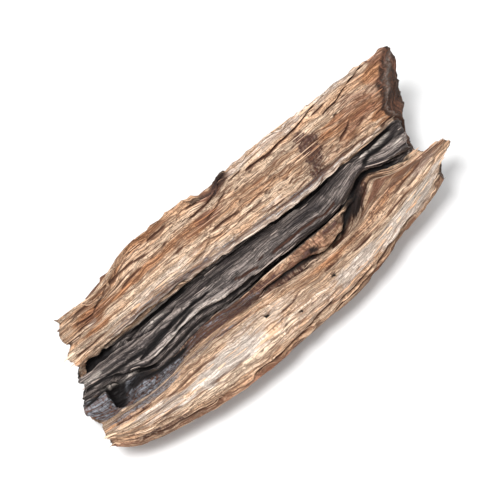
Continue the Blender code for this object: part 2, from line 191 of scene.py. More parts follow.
# The wall's fibres: how far they cross the grain lines for each millimetre along, over what x that sets in,
# and how much more they sway and how long they are, against the others.
WALL_LEAN = 0.13
WALL_LEAN_START = (-28, 2)
WALL_SWAY, WALL_LENGTH = 1.5, 0.7
# Layers that end in tongues: the width and length of a tongue, its thickness, and how much wood it leaves
# bare. Finer noise, of a width, a length and an amount, makes their edges ragged.
LAYERS = ((6.5, 40.0, 0.55, 0.12), (3.0, 24.0, 0.35, 0.2), (1.7, 13.0, 0.22, 0.25))
LAYER_RAGGED = (1.1, 5.0, 0.2)
LAYER_STEP = 0.03
LAYER_SEED = 91
# The core is calmer than the rest: by how much, and over what x that sets in and ends.
CORE_CALM = 0.75
CORE_CALM_START, CORE_CALM_END = (-26, -14), (40, 46)
# The rotted wood has lost this share of its fibres.
ROT_SMOOTH = 0.6

# The broken ends: how far the fibres stand out or fall short, their width, how far in that fades, and a
# seed. The bundles that stand out by less than a millimetre are blunted.
TEARS = ((1.5, 3.4, 9.0, 18), (0.6, 1.5, 3.5, 43), (0.3, 0.7, 1.8, 47))
BLUNT_TEAR = 0.3
# How far the middle of each break lies to the right of its rim, at shares of the way from the front edge
# over the top to the back foot, and over what share of the way in.
FLARE_PLACES = (0.0, 0.35, 0.62, 0.78, 1.0)
LEFT_FLARE = (2.5, 2.0, 3.0, 3.0, 1.0)
RIGHT_FLARE = (0.5, 0.5, 4.5, 5.0, 1.0)
LEFT_EASE, RIGHT_EASE = 0.45, 0.12
# The closing line is shorter than the break by this share, and the power crowds the rows at the rim.
CAP_SHRINK = 0.12
CAP_EASE = 1.4
# How dark the left break is, against the right one. The breaks' dark brown is partly the end grain's own
# colour and partly painted shade, most on the right break.
LEFT_BREAK_SHARE = 0.65
# Over what share of the way into a break the marks of the sides end.
BREAK_EDGE = (-0.02, 0.05)
# The pale strip on the right break: how far in it is, as a share, and its strength.
STRIP_PLACE, STRIP_STRENGTH = 0.26, 0.3


class Run(NamedTuple):
    """A line in the wood, along the grain or nearly so, which sets its mark to a strength. It is cut in by
    depth, or stands out where depth is below 0. Its places are (x, line, half width), where line is the
    number of a grain line or lies between two."""

    mark: str
    depth: float
    strength: float
    places: tuple


# The runs in each part of the wood. Each mark has rows of a depth, the strength of the mark and the places
# of a run.
WALL_RUNS = (
    ("crack", (
        (1.4, 1.0, (13, 13.5, 0.3), (18, 13.46, 0.55), (22, 13.44, 0.45), (26, 13.5, 0.35), (32, 13.52, 0.3),
         (36, 13.65, 0.3), (39, 13.72, 0.25)),
        (1.0, 0.9, (37, 13.53, 0.3), (40, 13.54, 0.35), (43, 13.57, 0.3)),
        (1.4, 1.0, (41.5, 13.36, 0.35), (44, 13.4, 0.6), (47, 13.42, 0.6), (49, 13.53, 0.5),
         (53, 13.72, 0.35), (56, 13.82, 0.25)),
        (1.2, 0.9, (-9, 13.42, 0.25), (-5, 13.4, 0.35), (-1, 13.47, 0.4), (2, 13.6, 0.45),
         (4.5, 13.74, 0.45), (6.5, 13.9, 0.35)),
    )),
    # The first black run is painted shadow in the dip of the crest; the second only cuts in.
    ("void", (
        (2.7, 0.7, (-6, 14.0, 0.4), (-2, 13.99, 1.0), (1.5, 13.99, 1.0), (4, 13.95, 0.3)),
        (2.0, 0.0, (-46, 14.0, 0.6), (-40, 14.0, 1.0), (-36.5, 14.0, 0.6)),
    )),
    ("crack", (
        (0.8, 0.9, (-7, 13.6, 0.2), (-3, 13.68, 0.4), (1, 13.8, 0.5), (4, 13.85, 0.3)),
        (0.7, 0.6, (-4, 13.1, 0.5), (0, 13.25, 0.5), (5, 13.45, 0.3)),
        (1.0, 0.9, (-5, 12.8, 0.25), (0, 12.8, 0.35), (4, 12.78, 0.35), (5.5, 12.74, 0.3)),
        (0.5, 0.5, (6, 12.73, 0.2), (13, 12.85, 0.2), (16, 12.68, 0.25)),
        (0.6, 0.7, (8, 13.56, 0.2), (11, 13.55, 0.3), (12.5, 13.5, 0.2)),
        (0.9, 0.8, (-27.5, 13.62, 0.25), (-25, 13.62, 0.4), (-22.5, 13.6, 0.25)),
        (0.9, 0.85, (-21.5, 13.58, 0.25), (-18, 13.6, 0.4), (-14, 13.61, 0.25)),
        (0.9, 0.7, (-51, 13.55, 0.3), (-45, 13.6, 0.35), (-40, 13.72, 0.35), (-35, 13.6, 0.35),
         (-30, 13.47, 0.4), (-22, 13.37, 0.25)),
        (0.8, 0.75, (-50, 13.28, 0.3), (-44, 13.2, 0.35), (-42, 13.45, 0.5), (-38, 13.62, 0.35),
         (-34, 13.6, 0.2)),
        (0.7, 0.7, (-51, 13.05, 0.3), (-44, 13.1, 0.35)),
        (0.9, 0.7, (-57, 12.87, 0.5), (-50, 12.88, 0.3)),
        (0.7, 0.65, (-55, 12.41, 0.4), (-44, 12.42, 0.3)),
        (0.5, 0.5, (-40, 12.38, 0.25), (-33, 12.4, 0.25)),
        (0.6, 0.6, (-51, 12.12, 0.25), (-43, 12.13, 0.3), (-41.5, 12.22, 0.25)),
        (0.45, 0.45, (-14, 12.45, 0.2), (-9, 12.5, 0.2), (-7, 12.65, 0.25), (-5, 12.88, 0.25),
         (-3, 13.12, 0.25)),
        (0.4, 0.4, (-11, 12.3, 0.2), (-6, 12.42, 0.2), (-3.5, 12.65, 0.2), (-2, 12.75, 0.2)),
        (0.5, 0.5, (-18, 12.2, 0.2), (-13, 12.2, 0.25), (-9, 12.2, 0.2)),
        (0.6, 0.75, (-34.5, 13.2, 0.3), (-32, 13.2, 0.35), (-26, 13.22, 0.15)),
        (0.6, 0.75, (-19, 13.26, 0.3), (-17.5, 13.29, 0.45), (-16, 13.3, 0.2)),
        (0.6, 0.8, (-17, 12.9, 0.3), (-15.5, 12.94, 0.45), (-13, 12.97, 0.2)),
        (1.2, 1.0, (41, 12.6, 0.25), (44.5, 12.68, 0.5), (46, 12.78, 0.6), (46.8, 12.9, 0.5)),
        (0.8, 0.8, (49, 12.66, 0.4), (51.5, 12.7, 0.3)),
        (0.6, 0.7, (46, 12.15, 0.3), (49, 12.16, 0.25)),
        (0.9, 0.9, (53, 12.1, 0.4), (56, 12.12, 0.6), (58.5, 12.2, 0.6)),
        (0.5, 0.5, (6, 12.62, 0.2), (12, 12.68, 0.25)),
        (0.5, 0.6, (11, 12.38, 0.2), (15, 12.4, 0.3), (18.5, 12.44, 0.2)),
        (0.5, 0.6, (21, 12.6, 0.25), (24, 12.72, 0.2)),
        (0.5, 0.5, (21.5, 12.35, 0.2), (27, 12.42, 0.2)),
        (0.5, 0.7, (29, 12.3, 0.3), (36, 12.3, 0.2)),
    )),
    ("pale", (
        (-0.3, 0.8, (10, 12.47, 0.2), (14, 12.48, 0.4), (18, 12.53, 0.3)),
        (-0.3, 0.7, (-48, 12.98, 0.3), (-44, 13.0, 0.3)),
    )),
)
CORE_RUNS = (
    # Black runs in the core: partly black resin and partly painted shadow in the splits.
    ("void", (
        (1.8, 1.0, (-57, 10.9, 0.6), (-52, 10.8, 1.7), (-47, 10.75, 1.6), (-43, 10.5, 0.8),
         (-38, 10.1, 0.6)),
        (1.2, 1.0, (-48, 11.5, 0.4), (-44, 11.6, 0.5), (-40, 11.8, 0.5), (-30, 11.78, 0.5),
         (-22, 11.9, 0.35), (-17, 12.02, 0.2)),
        (1.5, 1.0, (-40, 10.4, 0.5), (-36, 10.7, 0.5), (-30, 10.97, 0.6), (-20, 11.15, 0.7),
         (-10, 11.5, 0.8), (0, 11.5, 0.75), (10, 11.3, 0.6), (20, 11.1, 0.35), (24, 10.6, 0.4),
         (30, 10.9, 0.4), (34, 11.0, 0.25)),
        (1.2, 0.9, (-39, 9.9, 0.4), (-34, 9.55, 0.4), (-27, 9.6, 0.35), (-23, 10.2, 0.25)),
        (0.6, 0.7, (20, 10.3, 0.3), (24, 10.2, 0.6), (28, 10.1, 0.5), (30, 10.2, 0.3)),
        (1.2, 1.0, (40, 8.8, 0.3), (45, 9.6, 0.5), (50, 10.5, 0.5), (57, 11.2, 0.5)),
        (1.3, 1.0, (43, 8.2, 0.5), (47, 8.75, 0.8), (52, 9.0, 0.6), (56, 9.5, 0.5)),
        (1.2, 1.0, (47, 7.6, 0.4), (50, 7.55, 0.6), (57, 7.3, 0.6)),
        (1.1, 0.85, (-53, 8.3, 0.35), (-46, 8.5, 0.4), (-39, 8.65, 0.3)),
        (1.4, 1.0, (-43, 8.3, 0.3), (-39, 8.55, 0.6), (-30, 8.74, 0.6), (-20, 8.9, 0.3), (-16, 8.9, 0.15)),
        (0.8, 0.8, (-31, 8.4, 0.3), (-26, 8.52, 0.35), (-22, 8.65, 0.2)),
        (1.2, 0.9, (-61, 7.75, 0.4), (-54, 7.95, 0.6), (-48, 7.6, 0.6), (-43, 7.25, 0.6), (-38, 7.05, 0.5)),
        (1.3, 1.0, (-41, 7.85, 0.4), (-30, 8.0, 0.5), (-20, 8.0, 0.5), (-15, 7.8, 0.6), (-8, 7.65, 0.9),
         (0, 7.6, 0.9), (6, 7.5, 0.6), (10, 7.3, 0.4)),
        (1.5, 1.0, (-40, 6.4, 0.5), (-34, 6.4, 0.8), (-20, 6.5, 0.8), (-10, 6.4, 0.6), (-4, 6.7, 0.9),
         (2, 6.9, 0.9), (8, 7.2, 0.4), (14, 7.1, 0.35), (18, 7.2, 0.5), (24, 6.9, 0.35), (29, 7.0, 0.4),
         (32, 7.0, 0.6)),
    )),
    ("crack", (
        (0.6, 0.9, (-9, 8.55, 0.3), (-4, 8.35, 0.3), (0, 8.2, 0.2)),
        (0.6, 0.9, (4, 8.3, 0.2), (12, 8.35, 0.3), (21, 8.32, 0.25), (24, 8.15, 0.25), (29, 8.3, 0.25)),
        (0.6, 0.9, (0, 8.5, 0.3), (2.5, 8.5, 0.3)),
    )),
    # Black runs by the ledge: partly black resin and partly painted shadow.
    ("void", (
        (0.9, 1.0, (-49, 6.0, 0.7), (-44, 5.8, 0.8), (-38, 5.5, 0.7), (-33, 5.1, 0.5), (-29, 5.3, 0.3)),
        (0.8, 0.9, (-60, 6.3, 0.3), (-57, 6.45, 0.4), (-54, 6.8, 0.5), (-52.5, 6.9, 0.6)),
    )),
    ("pale", (
        (-0.5, 0.9, (-36.5, 10.0, 0.2), (-32, 10.02, 0.5), (-27, 10.05, 0.3)),
        (-0.3, 0.7, (-38, 11.3, 0.2), (-28, 11.38, 0.35), (-19, 11.55, 0.25)),
        (-0.3, 0.7, (-20, 7.4, 0.15), (-15, 7.3, 0.25), (-10, 7.2, 0.2)),
        (-0.3, 0.8, (-40, 8.1, 0.2), (-32, 8.25, 0.4), (-20, 8.35, 0.4), (-12, 8.2, 0.3)),
        (-0.3, 0.9, (-55, 6.85, 0.15), (-51, 7.05, 0.3), (-47, 7.0, 0.3), (-43, 6.9, 0.15)),
        (-0.3, 0.7, (-61, 8.8, 0.6), (-57, 8.85, 0.8), (-52, 8.9, 0.4)),
        (-0.5, 1.0, (43, 8.55, 0.3), (47, 9.2, 0.45), (51, 9.75, 0.45), (56, 10.5, 0.35)),
        (-0.3, 0.8, (52, 8.4, 0.4), (55, 8.6, 0.6), (57, 8.6, 0.4)),
        (-0.2, 0.5, (16, 10.5, 0.3), (18.5, 10.5, 0.7), (21, 10.4, 0.3)),
    )),
)
SPLIT_RUNS = (
    # Black runs along the second split: painted shadow under the island and in the recess, partly black
    # resin.
    ("void", (
        (1.9, 1.0, (-4, 4.5, 0.2), (0, 4.55, 0.5), (4, 4.7, 0.8), (10, 4.7, 1.0), (15, 4.55, 0.9),
         (18, 4.35, 1.2), (23, 4.5, 1.3), (27, 4.6, 1.3), (30, 5.0, 1.4), (34, 5.4, 1.5), (37, 6.2, 1.3),
         (40, 7.2, 1.1), (43, 7.2, 0.9), (46, 7.0, 0.8), (50, 6.6, 0.6), (57, 6.0, 0.4)),
        (0.9, 0.9, (12, 5.3, 0.3), (14, 5.25, 0.6), (16.5, 5.1, 0.4)),
        (1.0, 0.9, (28, 5.6, 0.2), (32, 6.1, 0.4), (36, 6.75, 0.5), (40, 7.5, 0.3)),
    )),
    ("crack", (
        (0.8, 1.0, (33, 4.3, 0.3), (37, 5.2, 0.6), (41, 6.1, 0.5), (45, 6.2, 0.3)),
        (0.7, 0.9, (40, 5.0, 0.2), (44, 5.4, 0.4), (49, 5.0, 0.3), (54, 4.8, 0.2)),
        (0.6, 0.8, (28, 3.6, 0.2), (35, 3.8, 0.4), (42, 4.4, 0.4), (48, 4.3, 0.2)),
        (0.6, 0.9, (5.5, 5.6, 0.3), (7, 5.55, 0.5), (8, 5.4, 0.2)),
        (0.8, 1.0, (20, 4.15, 0.3), (26, 4.2, 0.5), (31, 4.6, 0.5), (36, 5.3, 0.5), (40, 6.3, 0.4),
         (43, 6.4, 0.3)),
        (0.6, 0.8, (30, 4.2, 0.3), (35, 4.7, 0.4), (40, 5.6, 0.4), (44, 5.9, 0.3), (48, 5.6, 0.2)),
    )),
)
FRONT_RUNS = (
    ("crack", (
        (0.7, 0.75, (-61, 2.6, 0.4), (-58, 2.55, 0.5), (-55, 2.5, 0.3)),
        (0.6, 0.65, (-55, 2.45, 0.35), (-52, 2.5, 0.35), (-49.5, 2.5, 0.2)),
        (0.5, 0.6, (-46, 2.25, 0.2), (-41, 2.25, 0.3), (-36, 2.35, 0.4), (-33, 2.4, 0.3), (-28, 2.3, 0.2)),
        (0.6, 0.65, (-54, 1.15, 0.35), (-50, 1.2, 0.45), (-44, 1.2, 0.3)),
        (0.7, 0.9, (-8, 2.0, 0.2), (-4, 2.05, 0.3), (0, 2.25, 0.25)),
        (0.5, 0.7, (-24, 3.0, 0.2), (-17, 2.98, 0.3), (-12, 3.0, 0.35)),
        (0.7, 0.9, (9.5, 2.33, 0.25), (12, 2.36, 0.35), (15, 2.34, 0.2)),
        (0.5, 0.6, (40, 2.55, 0.25), (47, 2.6, 0.35), (54, 2.75, 0.2)),
        (0.5, 0.6, (44, 2.3, 0.2), (48, 2.35, 0.3), (51, 2.4, 0.2)),
        (0.4, 0.5, (-52, 1.75, 0.25), (-40, 1.8, 0.2)),
        (0.4, 0.5, (-36, 1.3, 0.2), (-28, 1.25, 0.3), (-22, 1.3, 0.2)),
        (0.4, 0.7, (-58, 1.3, 0.4), (-56.6, 1.3, 0.4)),
        (1.1, 1.0, (-24, 0.12, 0.4), (-16, 0.2, 0.5), (-10, 0.28, 0.45), (-4, 0.38, 0.5), (2, 0.55, 0.6),
         (8, 0.62, 0.5)),
        (1.1, 1.0, (9, 0.45, 0.4), (14, 0.4, 0.45), (19, 0.44, 0.45), (23, 0.5, 0.35)),
        (1.2, 1.0, (6, 0.08, 0.4), (14, 0.08, 0.5), (22, 0.1, 0.4)),
        (1.1, 1.0, (24, 0.38, 0.5), (30, 0.42, 0.5), (38, 0.3, 0.4), (44, 0.1, 0.3)),
        (0.5, 0.8, (-58, 0.2, 0.35), (-45, 0.22, 0.4), (-33, 0.15, 0.4)),
    )),
    ("pale", (
        (-0.3, 0.7, (-46, 12.05, 0.3), (-20, 12.08, 0.6), (0, 12.06, 0.7), (20, 12.08, 0.5), (40, 12.1, 0.3),
         (54, 12.1, 0.2)),
    )),
    ("crack", (
        (0.4, 0.6, (-44, 12.2, 0.2), (-20, 12.22, 0.4), (-4, 12.2, 0.3), (14, 12.24, 0.2), (36, 12.26, 0.4),
         (50, 12.2, 0.3)),
        (0.7, 0.95, (18.5, 2.08, 0.2), (22, 2.03, 0.35), (27.5, 2.04, 0.25)),
        (0.5, 0.7, (33, 2.1, 0.2), (39, 2.14, 0.3), (46, 2.12, 0.2)),
    )),
)
HIDDEN_RUNS = (
    ("void", (
        (2.2, 0.0, (-50, 15.0, 0.9), (-40, 15.0, 1.6), (-35.5, 15.0, 0.9)),
        (3.0, 0.0, (-62, 17, 2.4), (-46, 17, 2.6), (-38, 17, 2.2), (-32, 17, 1.2)),
    )),
    ("crack", (
        (1.8, 0.9, (-34, 18.2, 0.6), (-10, 18.25, 1.1), (24, 18.15, 0.6)),
        (1.7, 0.9, (-4, 18.8, 0.5), (20, 18.9, 1.1), (50, 18.85, 0.5)),
        (1.3, 0.8, (-12, 15.3, 0.4), (14, 15.35, 0.8), (46, 15.25, 0.4)),
        (1.1, 0.8, (-44, 15.6, 0.4), (-20, 15.55, 0.7), (-2, 15.6, 0.3)),
        (1.0, 0.8, (10, 14.5, 0.3), (30, 14.45, 0.5), (56, 14.5, 0.3)),
        (1.4, 0.9, (-40, 21.4, 0.5), (-8, 21.35, 1.0), (20, 21.4, 0.5)),
        (1.3, 0.9, (-16, 20.7, 0.5), (14, 20.65, 1.0), (44, 20.7, 0.5)),
        (1.2, 0.9, (-50, 22.4, 0.5), (-22, 22.35, 0.9), (10, 22.4, 0.4)),
        (1.0, 0.8, (12, 22.5, 0.3), (32, 22.55, 0.7), (52, 22.5, 0.3)),
        (0.9, 0.8, (-52, 23.3, 0.3), (-20, 23.4, 0.6), (16, 23.35, 0.3)),
    )),
)
RUNS = tuple(Run(mark, depth, strength, tuple(places))
             for table in (WALL_RUNS, CORE_RUNS, SPLIT_RUNS, FRONT_RUNS, HIDDEN_RUNS)
             for mark, rows in table
             for depth, strength, *places in rows)
RUN_SEED = 53
# How far a run's edges slope, and over what length its ends taper.
RUN_SLOPE = 0.35
RUN_TAPER = 2.0
# How far a run's middle strays, and the share by which its width swells, each with a length along the run.
RUN_STRAY = (0.18, 3.1)
RUN_SWELL = (0.4, 1.9)
# A run's mark is gone this far past its half width, and full on this share of it.
RUN_FRINGE, RUN_HEART = 0.22, 0.45
# Added to each half width, and its factor, for each mark.
RUN_SPREAD = {"crack": (0.08, 0.8), "void": (0.12, 1.3), "pale": (0.1, 1.2)}

# The rotted hollow: where its mouth is, its reach to the left, right, front and back there, how deep it
# goes, how far it leans, and the height above which the wood is pushed in.
HOLLOW_MOUTH = (-52.0, -7.2)
HOLLOW_REACH = (3.0, 8.0, 2.7, 4.0)
HOLLOW_DEPTH = 6.0
HOLLOW_LEAN = math.radians(10.0)
HOLLOW_FLOOR = 9.0
# The power of the way out by which its depth falls off, and how much lower that is to the right.
HOLLOW_POWER, HOLLOW_POWER_LOSS = 4.0, 2.9
# The noise that makes its rim uneven: its length along and across the grain, and its amount.
HOLLOW_RAGGED = (1.6, 1.2, 0.14)
# Painted shadow: it is black on the left and back side of a slanting line, whose slope and place are given,
# and only where its depth passes a range.
HOLLOW_SHADE = (1.0, -1.2)
HOLLOW_BLACK = (0.5, 2.0)

# The dark splinter on the crest: its place, its reach along and across, how high it stands, how ragged its
# top is, the size of the rags, how dark it is, and the height above which the wood is raised.
SPLINTER_PLACE = (5.2, 15.2)
SPLINTER_REACH = (3.2, 1.8)
SPLINTER_HEIGHT = 2.4
SPLINTER_RAGGED, SPLINTER_GRAIN = 0.5, 0.9
SPLINTER_DARK = 0.75
SPLINTER_FLOOR = 24.0

# Patches of each mark: x, the line, the half length along the grain, the half width across it, and the
# strength.
PATCHES = {
    "ochre": (
        (-44, 13.3, 5.5, 2.8, 1.0), (-45, 12.72, 4.0, 1.6, 0.7), (-34, 13.15, 6, 1.2, 0.9),
        (-22, 13.15, 18, 1.7, 0.85), (-9, 13.15, 5, 1.6, 0.9), (-20, 13.75, 9, 1.4, 0.5),
        (-36, 13.62, 7, 1.4, 0.6), (12, 12.9, 15, 3.4, 0.4), (24, 12.6, 8, 2.6, 0.4),
        (45, 12.9, 11, 4.8, 0.75), (20, 13.3, 10, 1.6, 0.5), (40, 3.2, 18, 2.0, 0.6), (60, 13.5, 6, 6, 0.8),
        (58, 12.6, 5, 3.4, 0.8), (-58, 2.6, 6, 1.6, 0.5), (-51, 1.15, 7, 1.3, 0.2), (-30, 2.75, 9, 1.2, 0.2),
        (-12, 0.6, 13, 1.4, 0.5), (-16, 2.8, 12, 1.0, 0.45), (12, 2.6, 16, 1.4, 0.4),
        (46, 2.8, 16, 1.8, 0.5)),
    # Partly real red-brown wood at the resin's edge, and partly painted shade on the wall's right part,
    # which faces away from the light, and below the second split.
    "red": (
        (2, 13.78, 6, 2.2, 1.0), (-2, 13.2, 4.2, 1.8, 0.85), (45, 3.6, 11, 2.6, 1.0),
        (28, 3.5, 15, 2.2, 0.75), (16, 5.6, 17, 3.0, 0.55), (63, 13.8, 5, 3, 0.8), (48, 12.75, 7, 2.2, 0.6),
        (50, 13.2, 9, 3.4, 0.6), (50, 3.1, 12, 2.0, 0.65), (38, 12.5, 9, 2.0, 0.4), (55, 2.6, 8, 1.8, 0.5),
        (-44, 13.3, 4, 2.4, 0.5), (57, 13.0, 4, 6.0, 0.5), (10, 5.6, 16, 1.0, 0.6), (-5, 4.0, 30, 1.2, 0.5)),
    # Partly real stains, and partly painted shade on the inner slope, along the trough and below the second
    # split.
    "stain_and_shade": (
        (32.5, 13.1, 3.8, 2.6, 1.0), (31.0, 13.32, 1.8, 1.8, 1.0), (32.0, 12.8, 3.4, 3.4, 0.85),
        (30.5, 12.4, 3.0, 3.0, 0.65), (0.5, 13.85, 5, 1.1, 0.8), (-15, 5.1, 22, 2.4, 0.9),
        (12, 5.4, 3, 0.8, 0.8), (22, 5.7, 4, 0.8, 0.7), (5, 4.4, 15, 1.4, 0.6), (24, 3.3, 15, 1.3, 0.4),
        (25, 2.5, 11, 1.4, 0.3), (39, 2.8, 9, 1.5, 0.3), (-52, 0.5, 9, 1.2, 0.5), (-54, 2.6, 7, 0.7, 0.4),
        (36, 5.0, 7, 3.0, 0.9)),
    # Painted shadow: black patches in the dark recess under the island and along its arch, and beside the
    # splits.
    "void": (
        (-45, 6.3, 6, 1.3, 0.95), (35.0, 4.8, 4.0, 2.4, 0.9), (37.5, 5.6, 3.5, 2.2, 0.85),
        (41.5, 6.6, 4.0, 1.6, 0.8), (30.5, 5.0, 4.5, 2.0, 0.85), (34.0, 6.0, 3.6, 2.4, 0.9),
        (39.5, 7.3, 4.5, 1.6, 0.85), (-52, 11.0, 6.5, 1.4, 0.8), (-8, 7.1, 8, 0.9, 0.7)),
    "bleach": (
        (-30, 1.7, 17, 2.8, 1.0), (-48, 1.9, 12, 3.2, 0.65), (-14, 2.3, 18, 3.4, 0.5),
        (2, 1.2, 22, 4.0, 0.4), (22, 1.3, 15, 3.5, 0.75), (46, 1.1, 17, 5.2, 0.75), (53, 2.5, 6, 1.6, 0.55),
        (32, 13.8, 34, 2.2, 0.6), (-25, 12.4, 24, 3.0, 0.5), (10, 12.25, 26, 1.4, 0.35)),
    "rot": (
        (-50, 2.95, 15, 1.8, 0.6), (-26, 3.1, 12, 1.4, 0.45), (-18, 12.25, 30, 1.3, 0.45),
        (22, 12.25, 26, 1.1, 0.5), (-20, 5.0, 20, 1.5, 0.4), (-59, 5.0, 7, 4.2, 1.0),
        (-50, 5.2, 9, 4.2, 1.0), (-42, 4.3, 10, 3.0, 1.0)),
    # Partly wear and partly painted highlight on the glossy resin ribs.
    "worn_and_highlight": (
        (-32, 8.3, 15, 1.2, 1.0), (-40, 9.25, 17, 1.3, 0.9), (-58, 9.2, 6, 2.0, 0.8),
        (-28, 10.1, 8, 0.8, 0.8), (-4, 9.0, 18, 2.0, 0.6), (-8, 8.3, 10, 1.2, 0.5), (34, 8.7, 10, 1.8, 0.5),
        (52, 8.6, 7, 2.4, 0.7), (18.5, 10.4, 4, 1.0, 0.7)),
    "dashes": (
        (30, 12.9, 40, 9, 1.0), (-25, 13.4, 18, 3.5, 0.6), (5, 1.6, 34, 6, 0.7)),
    "rugged": (
        (16, 5.7, 17, 2.6, 1.0), (-44, 4.2, 12, 3.0, 0.6), (2, 13.75, 6, 2.2, 0.5), (-16, 4.8, 20, 2.0, 0.6),
        (32, 5.6, 7, 3.0, 0.7)),
}
# What is marked on the mesh for the materials.
MARKS = ("resin", "crack", "void", "pale", "relief_shading", "ochre", "red", "stain_and_shade", "bleach", "rot", "dashes",
         "weather", "broken", "rugged", "worn_and_highlight")
PATCH_SEED = 71
# The noise that frays the patches along the grain: widths, lengths and amounts. Compact marks are frayed by
# a share of it.
PATCH_FRAYS = ((1.6, 7.0, 0.34), (0.7, 3.2, 0.3))
COMPACT_FRAY = {"stain_and_shade": 0.25, "void": 0.7, "rot": 0.35}
# A patch is gone and full at these shares of its half sizes.
PATCH_EDGE = (1.3, 0.6)
# Lumps of the rugged patches: their size and height. They are a little longer than wide.
LUMPS = ((2.3, 0.5), (1.1, 0.35))
LUMP_STRETCH = 1.3
# Edges that are frayed, and by how much. The bites have lengths and amounts, and reach some way from the
# edge.
FRAYED_EDGES = (("crest", 0.75), ("lip", 0.35), ("front_edge", 0.55), ("front_crest", 0.2),
                ("back_step", 0.4))
EDGE_BITES = ((3.4, 1.0), (1.5, 0.6))
EDGE_REACH = 1.1
# Painted shade darkens the valleys between fibres, and a painted highlight lightens the ridges, by how far
# they lie below or above the mean of the wood within this many rows, and fully at this depth.
RELIEF_SHADING_ROWS = 3
RELIEF_SHADING_DEPTH = 0.2
# Noise of a width, a length and an amount that makes the border of the resin and of the weathering ragged.
RESIN_RAGGED = (1.5, 7.0, 0.3)
WEATHER_RAGGED = (2.5, 20.0, 0.35)

# Insect holes: x, the line and the radius. Their rims reach from inside the radius to past it. They are
# painted black inside, as painted shade.
PINHOLES = ((-10.6, 2.35, 0.8), (10.8, 1.85, 0.6), (44.0, 13.2, 0.4), (-3.0, 1.35, 0.35))
PINHOLE_DEPTH = 1.4
PINHOLE_RIM = (0.1, 0.35)
# The directions along the slant of the wall, square to it and along the grain, for the broken ends.
BREAK_AXES = ((0.0, 0.68, 0.73), (0.0, -0.73, 0.68), (1.0, 0.0, 0.0))

# The factors of a column, a row and a seed, and the size of the sine, that scatter numbers evenly.
SCATTER_FACTORS = (127.1, 311.7, 74.7)
SCATTER_SIZE = 43758.5453


def on_screen(red, green, blue):
    """A linear colour from the red, green and blue that a screen shows, from 0 to 255."""
    shares = np.array((red, green, blue)) / 255
    linear = np.where(shares < 0.04045, shares / 12.92, ((shares + 0.055) / 1.055) ** 2.4)
    return tuple(linear.tolist())


def colour_property(name, description, red, green, blue):
    """A colour, given as a screen shows it."""
    return FloatVectorProperty(name=name, description=description, subtype="COLOR", size=3, min=0, max=1,
                               default=on_screen(red, green, blue))


def share_property(name, description):
    """A factor that is 1 for the real piece."""
    return FloatProperty(name=name, description=description + ", against the real piece's", default=1.0,
                         min=0, max=2, subtype="FACTOR")


class WoodForm(bpy.types.PropertyGroup):
    """Sizes of the wood's surface."""

    furrows: share_property("Furrows", "How deep the furrows are")
    fibres: share_property("Fibres", "How far fibres stand out")
    cracks: share_property("Cracks", "How deep the cracks are")
    tears: share_property("Tears", "How ragged the broken ends are")
    slivers: IntProperty(name="Slivers", description="How many loose slivers lie on the wood", default=800,
                         min=0)
    sliver_length: FloatProperty(name="Sliver Length", description="The longest of the loose slivers",
                                 default=0.009, min=0.001, subtype="DISTANCE", unit="LENGTH")


class WoodColours(bpy.types.PropertyGroup):
    """Colours of the wood and its stains, some of which are also painted shade and painted highlights."""

    cream: colour_property("Cream", "The palest sound wood", 242, 214, 186)
    tan: colour_property("Tan", "The darker streaks of sound wood", 222, 178, 142)
    ochre: colour_property("Ochre", "Orange-brown streaks on the wall", 190, 130, 86)
    # Also painted shade on the wall's right part and below the second split.
    red: colour_property("Red Brown", "Wood at the edge of the resin", 142, 96, 76)
    # Also the colour of the painted shade in the valleys between fibres.
    grain: colour_property("Grain", "The lines between the fibres of sound wood", 100, 64, 45)
    # Also the colour of the painted shade on the inner slope and below the second split.
    stain_and_shade: colour_property("Stain", "The purple-brown stains", 92, 66, 62)
    bleached: colour_property("Bleached", "Edges and faces bleached by light", 248, 235, 223)
    resin_dark: colour_property("Dark Resin", "The darker resin core", 62, 55, 56)
    # Also the colour of the painted highlights on the resin core's ribs.
    resin_light: colour_property("Light Resin", "The worn ribs of the resin core", 166, 153, 146)
    rot: colour_property("Rot", "The blue-grey wood round the hollow", 146, 148, 155)
    crack: colour_property("Crack", "The insides of cracks and pores", 84, 54, 41)
    # Black: the dark resin in the deepest splits, and painted shadow in the splits, the hollow and the
    # insect holes.
    void: colour_property("Void", "The insides of the deepest splits", 24, 20, 20)
    weathered: colour_property("Weathered", "The back and the underside", 142, 112, 88)
    # Dark brown, partly the end grain's own colour and partly painted shade on the breaks.
    torn: colour_property("Torn", "The broken ends", 38, 24, 20)


class StudioLayout(bpy.types.PropertyGroup):
    """The camera and the lights."""

    turn: FloatProperty(name="Turn", description="How far the view is turned from the grain",
                        default=math.radians(45), subtype="ANGLE")
    height: FloatProperty(name="Height", description="How steeply the camera looks down", subtype="ANGLE",
                          default=math.radians(55))
    distance: FloatProperty(name="Distance", description="From the camera to the piece", default=0.6,
                            subtype="DISTANCE", unit="LENGTH")
    view_width: FloatProperty(name="View Width", description="What the picture spans at the piece",
                              default=0.138, subtype="DISTANCE", unit="LENGTH")
    key: FloatProperty(name="Key Light", description="Strength of the soft key light", default=1.0, min=0,
                       subtype="FACTOR")
    sky: FloatProperty(name="Sky", description="Strength of the even light all round", default=0.71, min=0)


def smoothstep(low, high, value):
    """0 below low and 1 above high, with a smooth rise between them. Where low is above high it falls."""
    share = np.clip((value - low) / (high - low), 0, 1)
    return share * share * (3 - 2 * share)


def hermite(start, end, leave, arrive, t):
    """The cubic from start to end that leaves and arrives with the given slopes."""
    return ((1 + 2 * t) * (1 - t) ** 2 * start + t * (1 - t) ** 2 * leave
            + t * t * (3 - 2 * t) * end + t * t * (t - 1) * arrive)


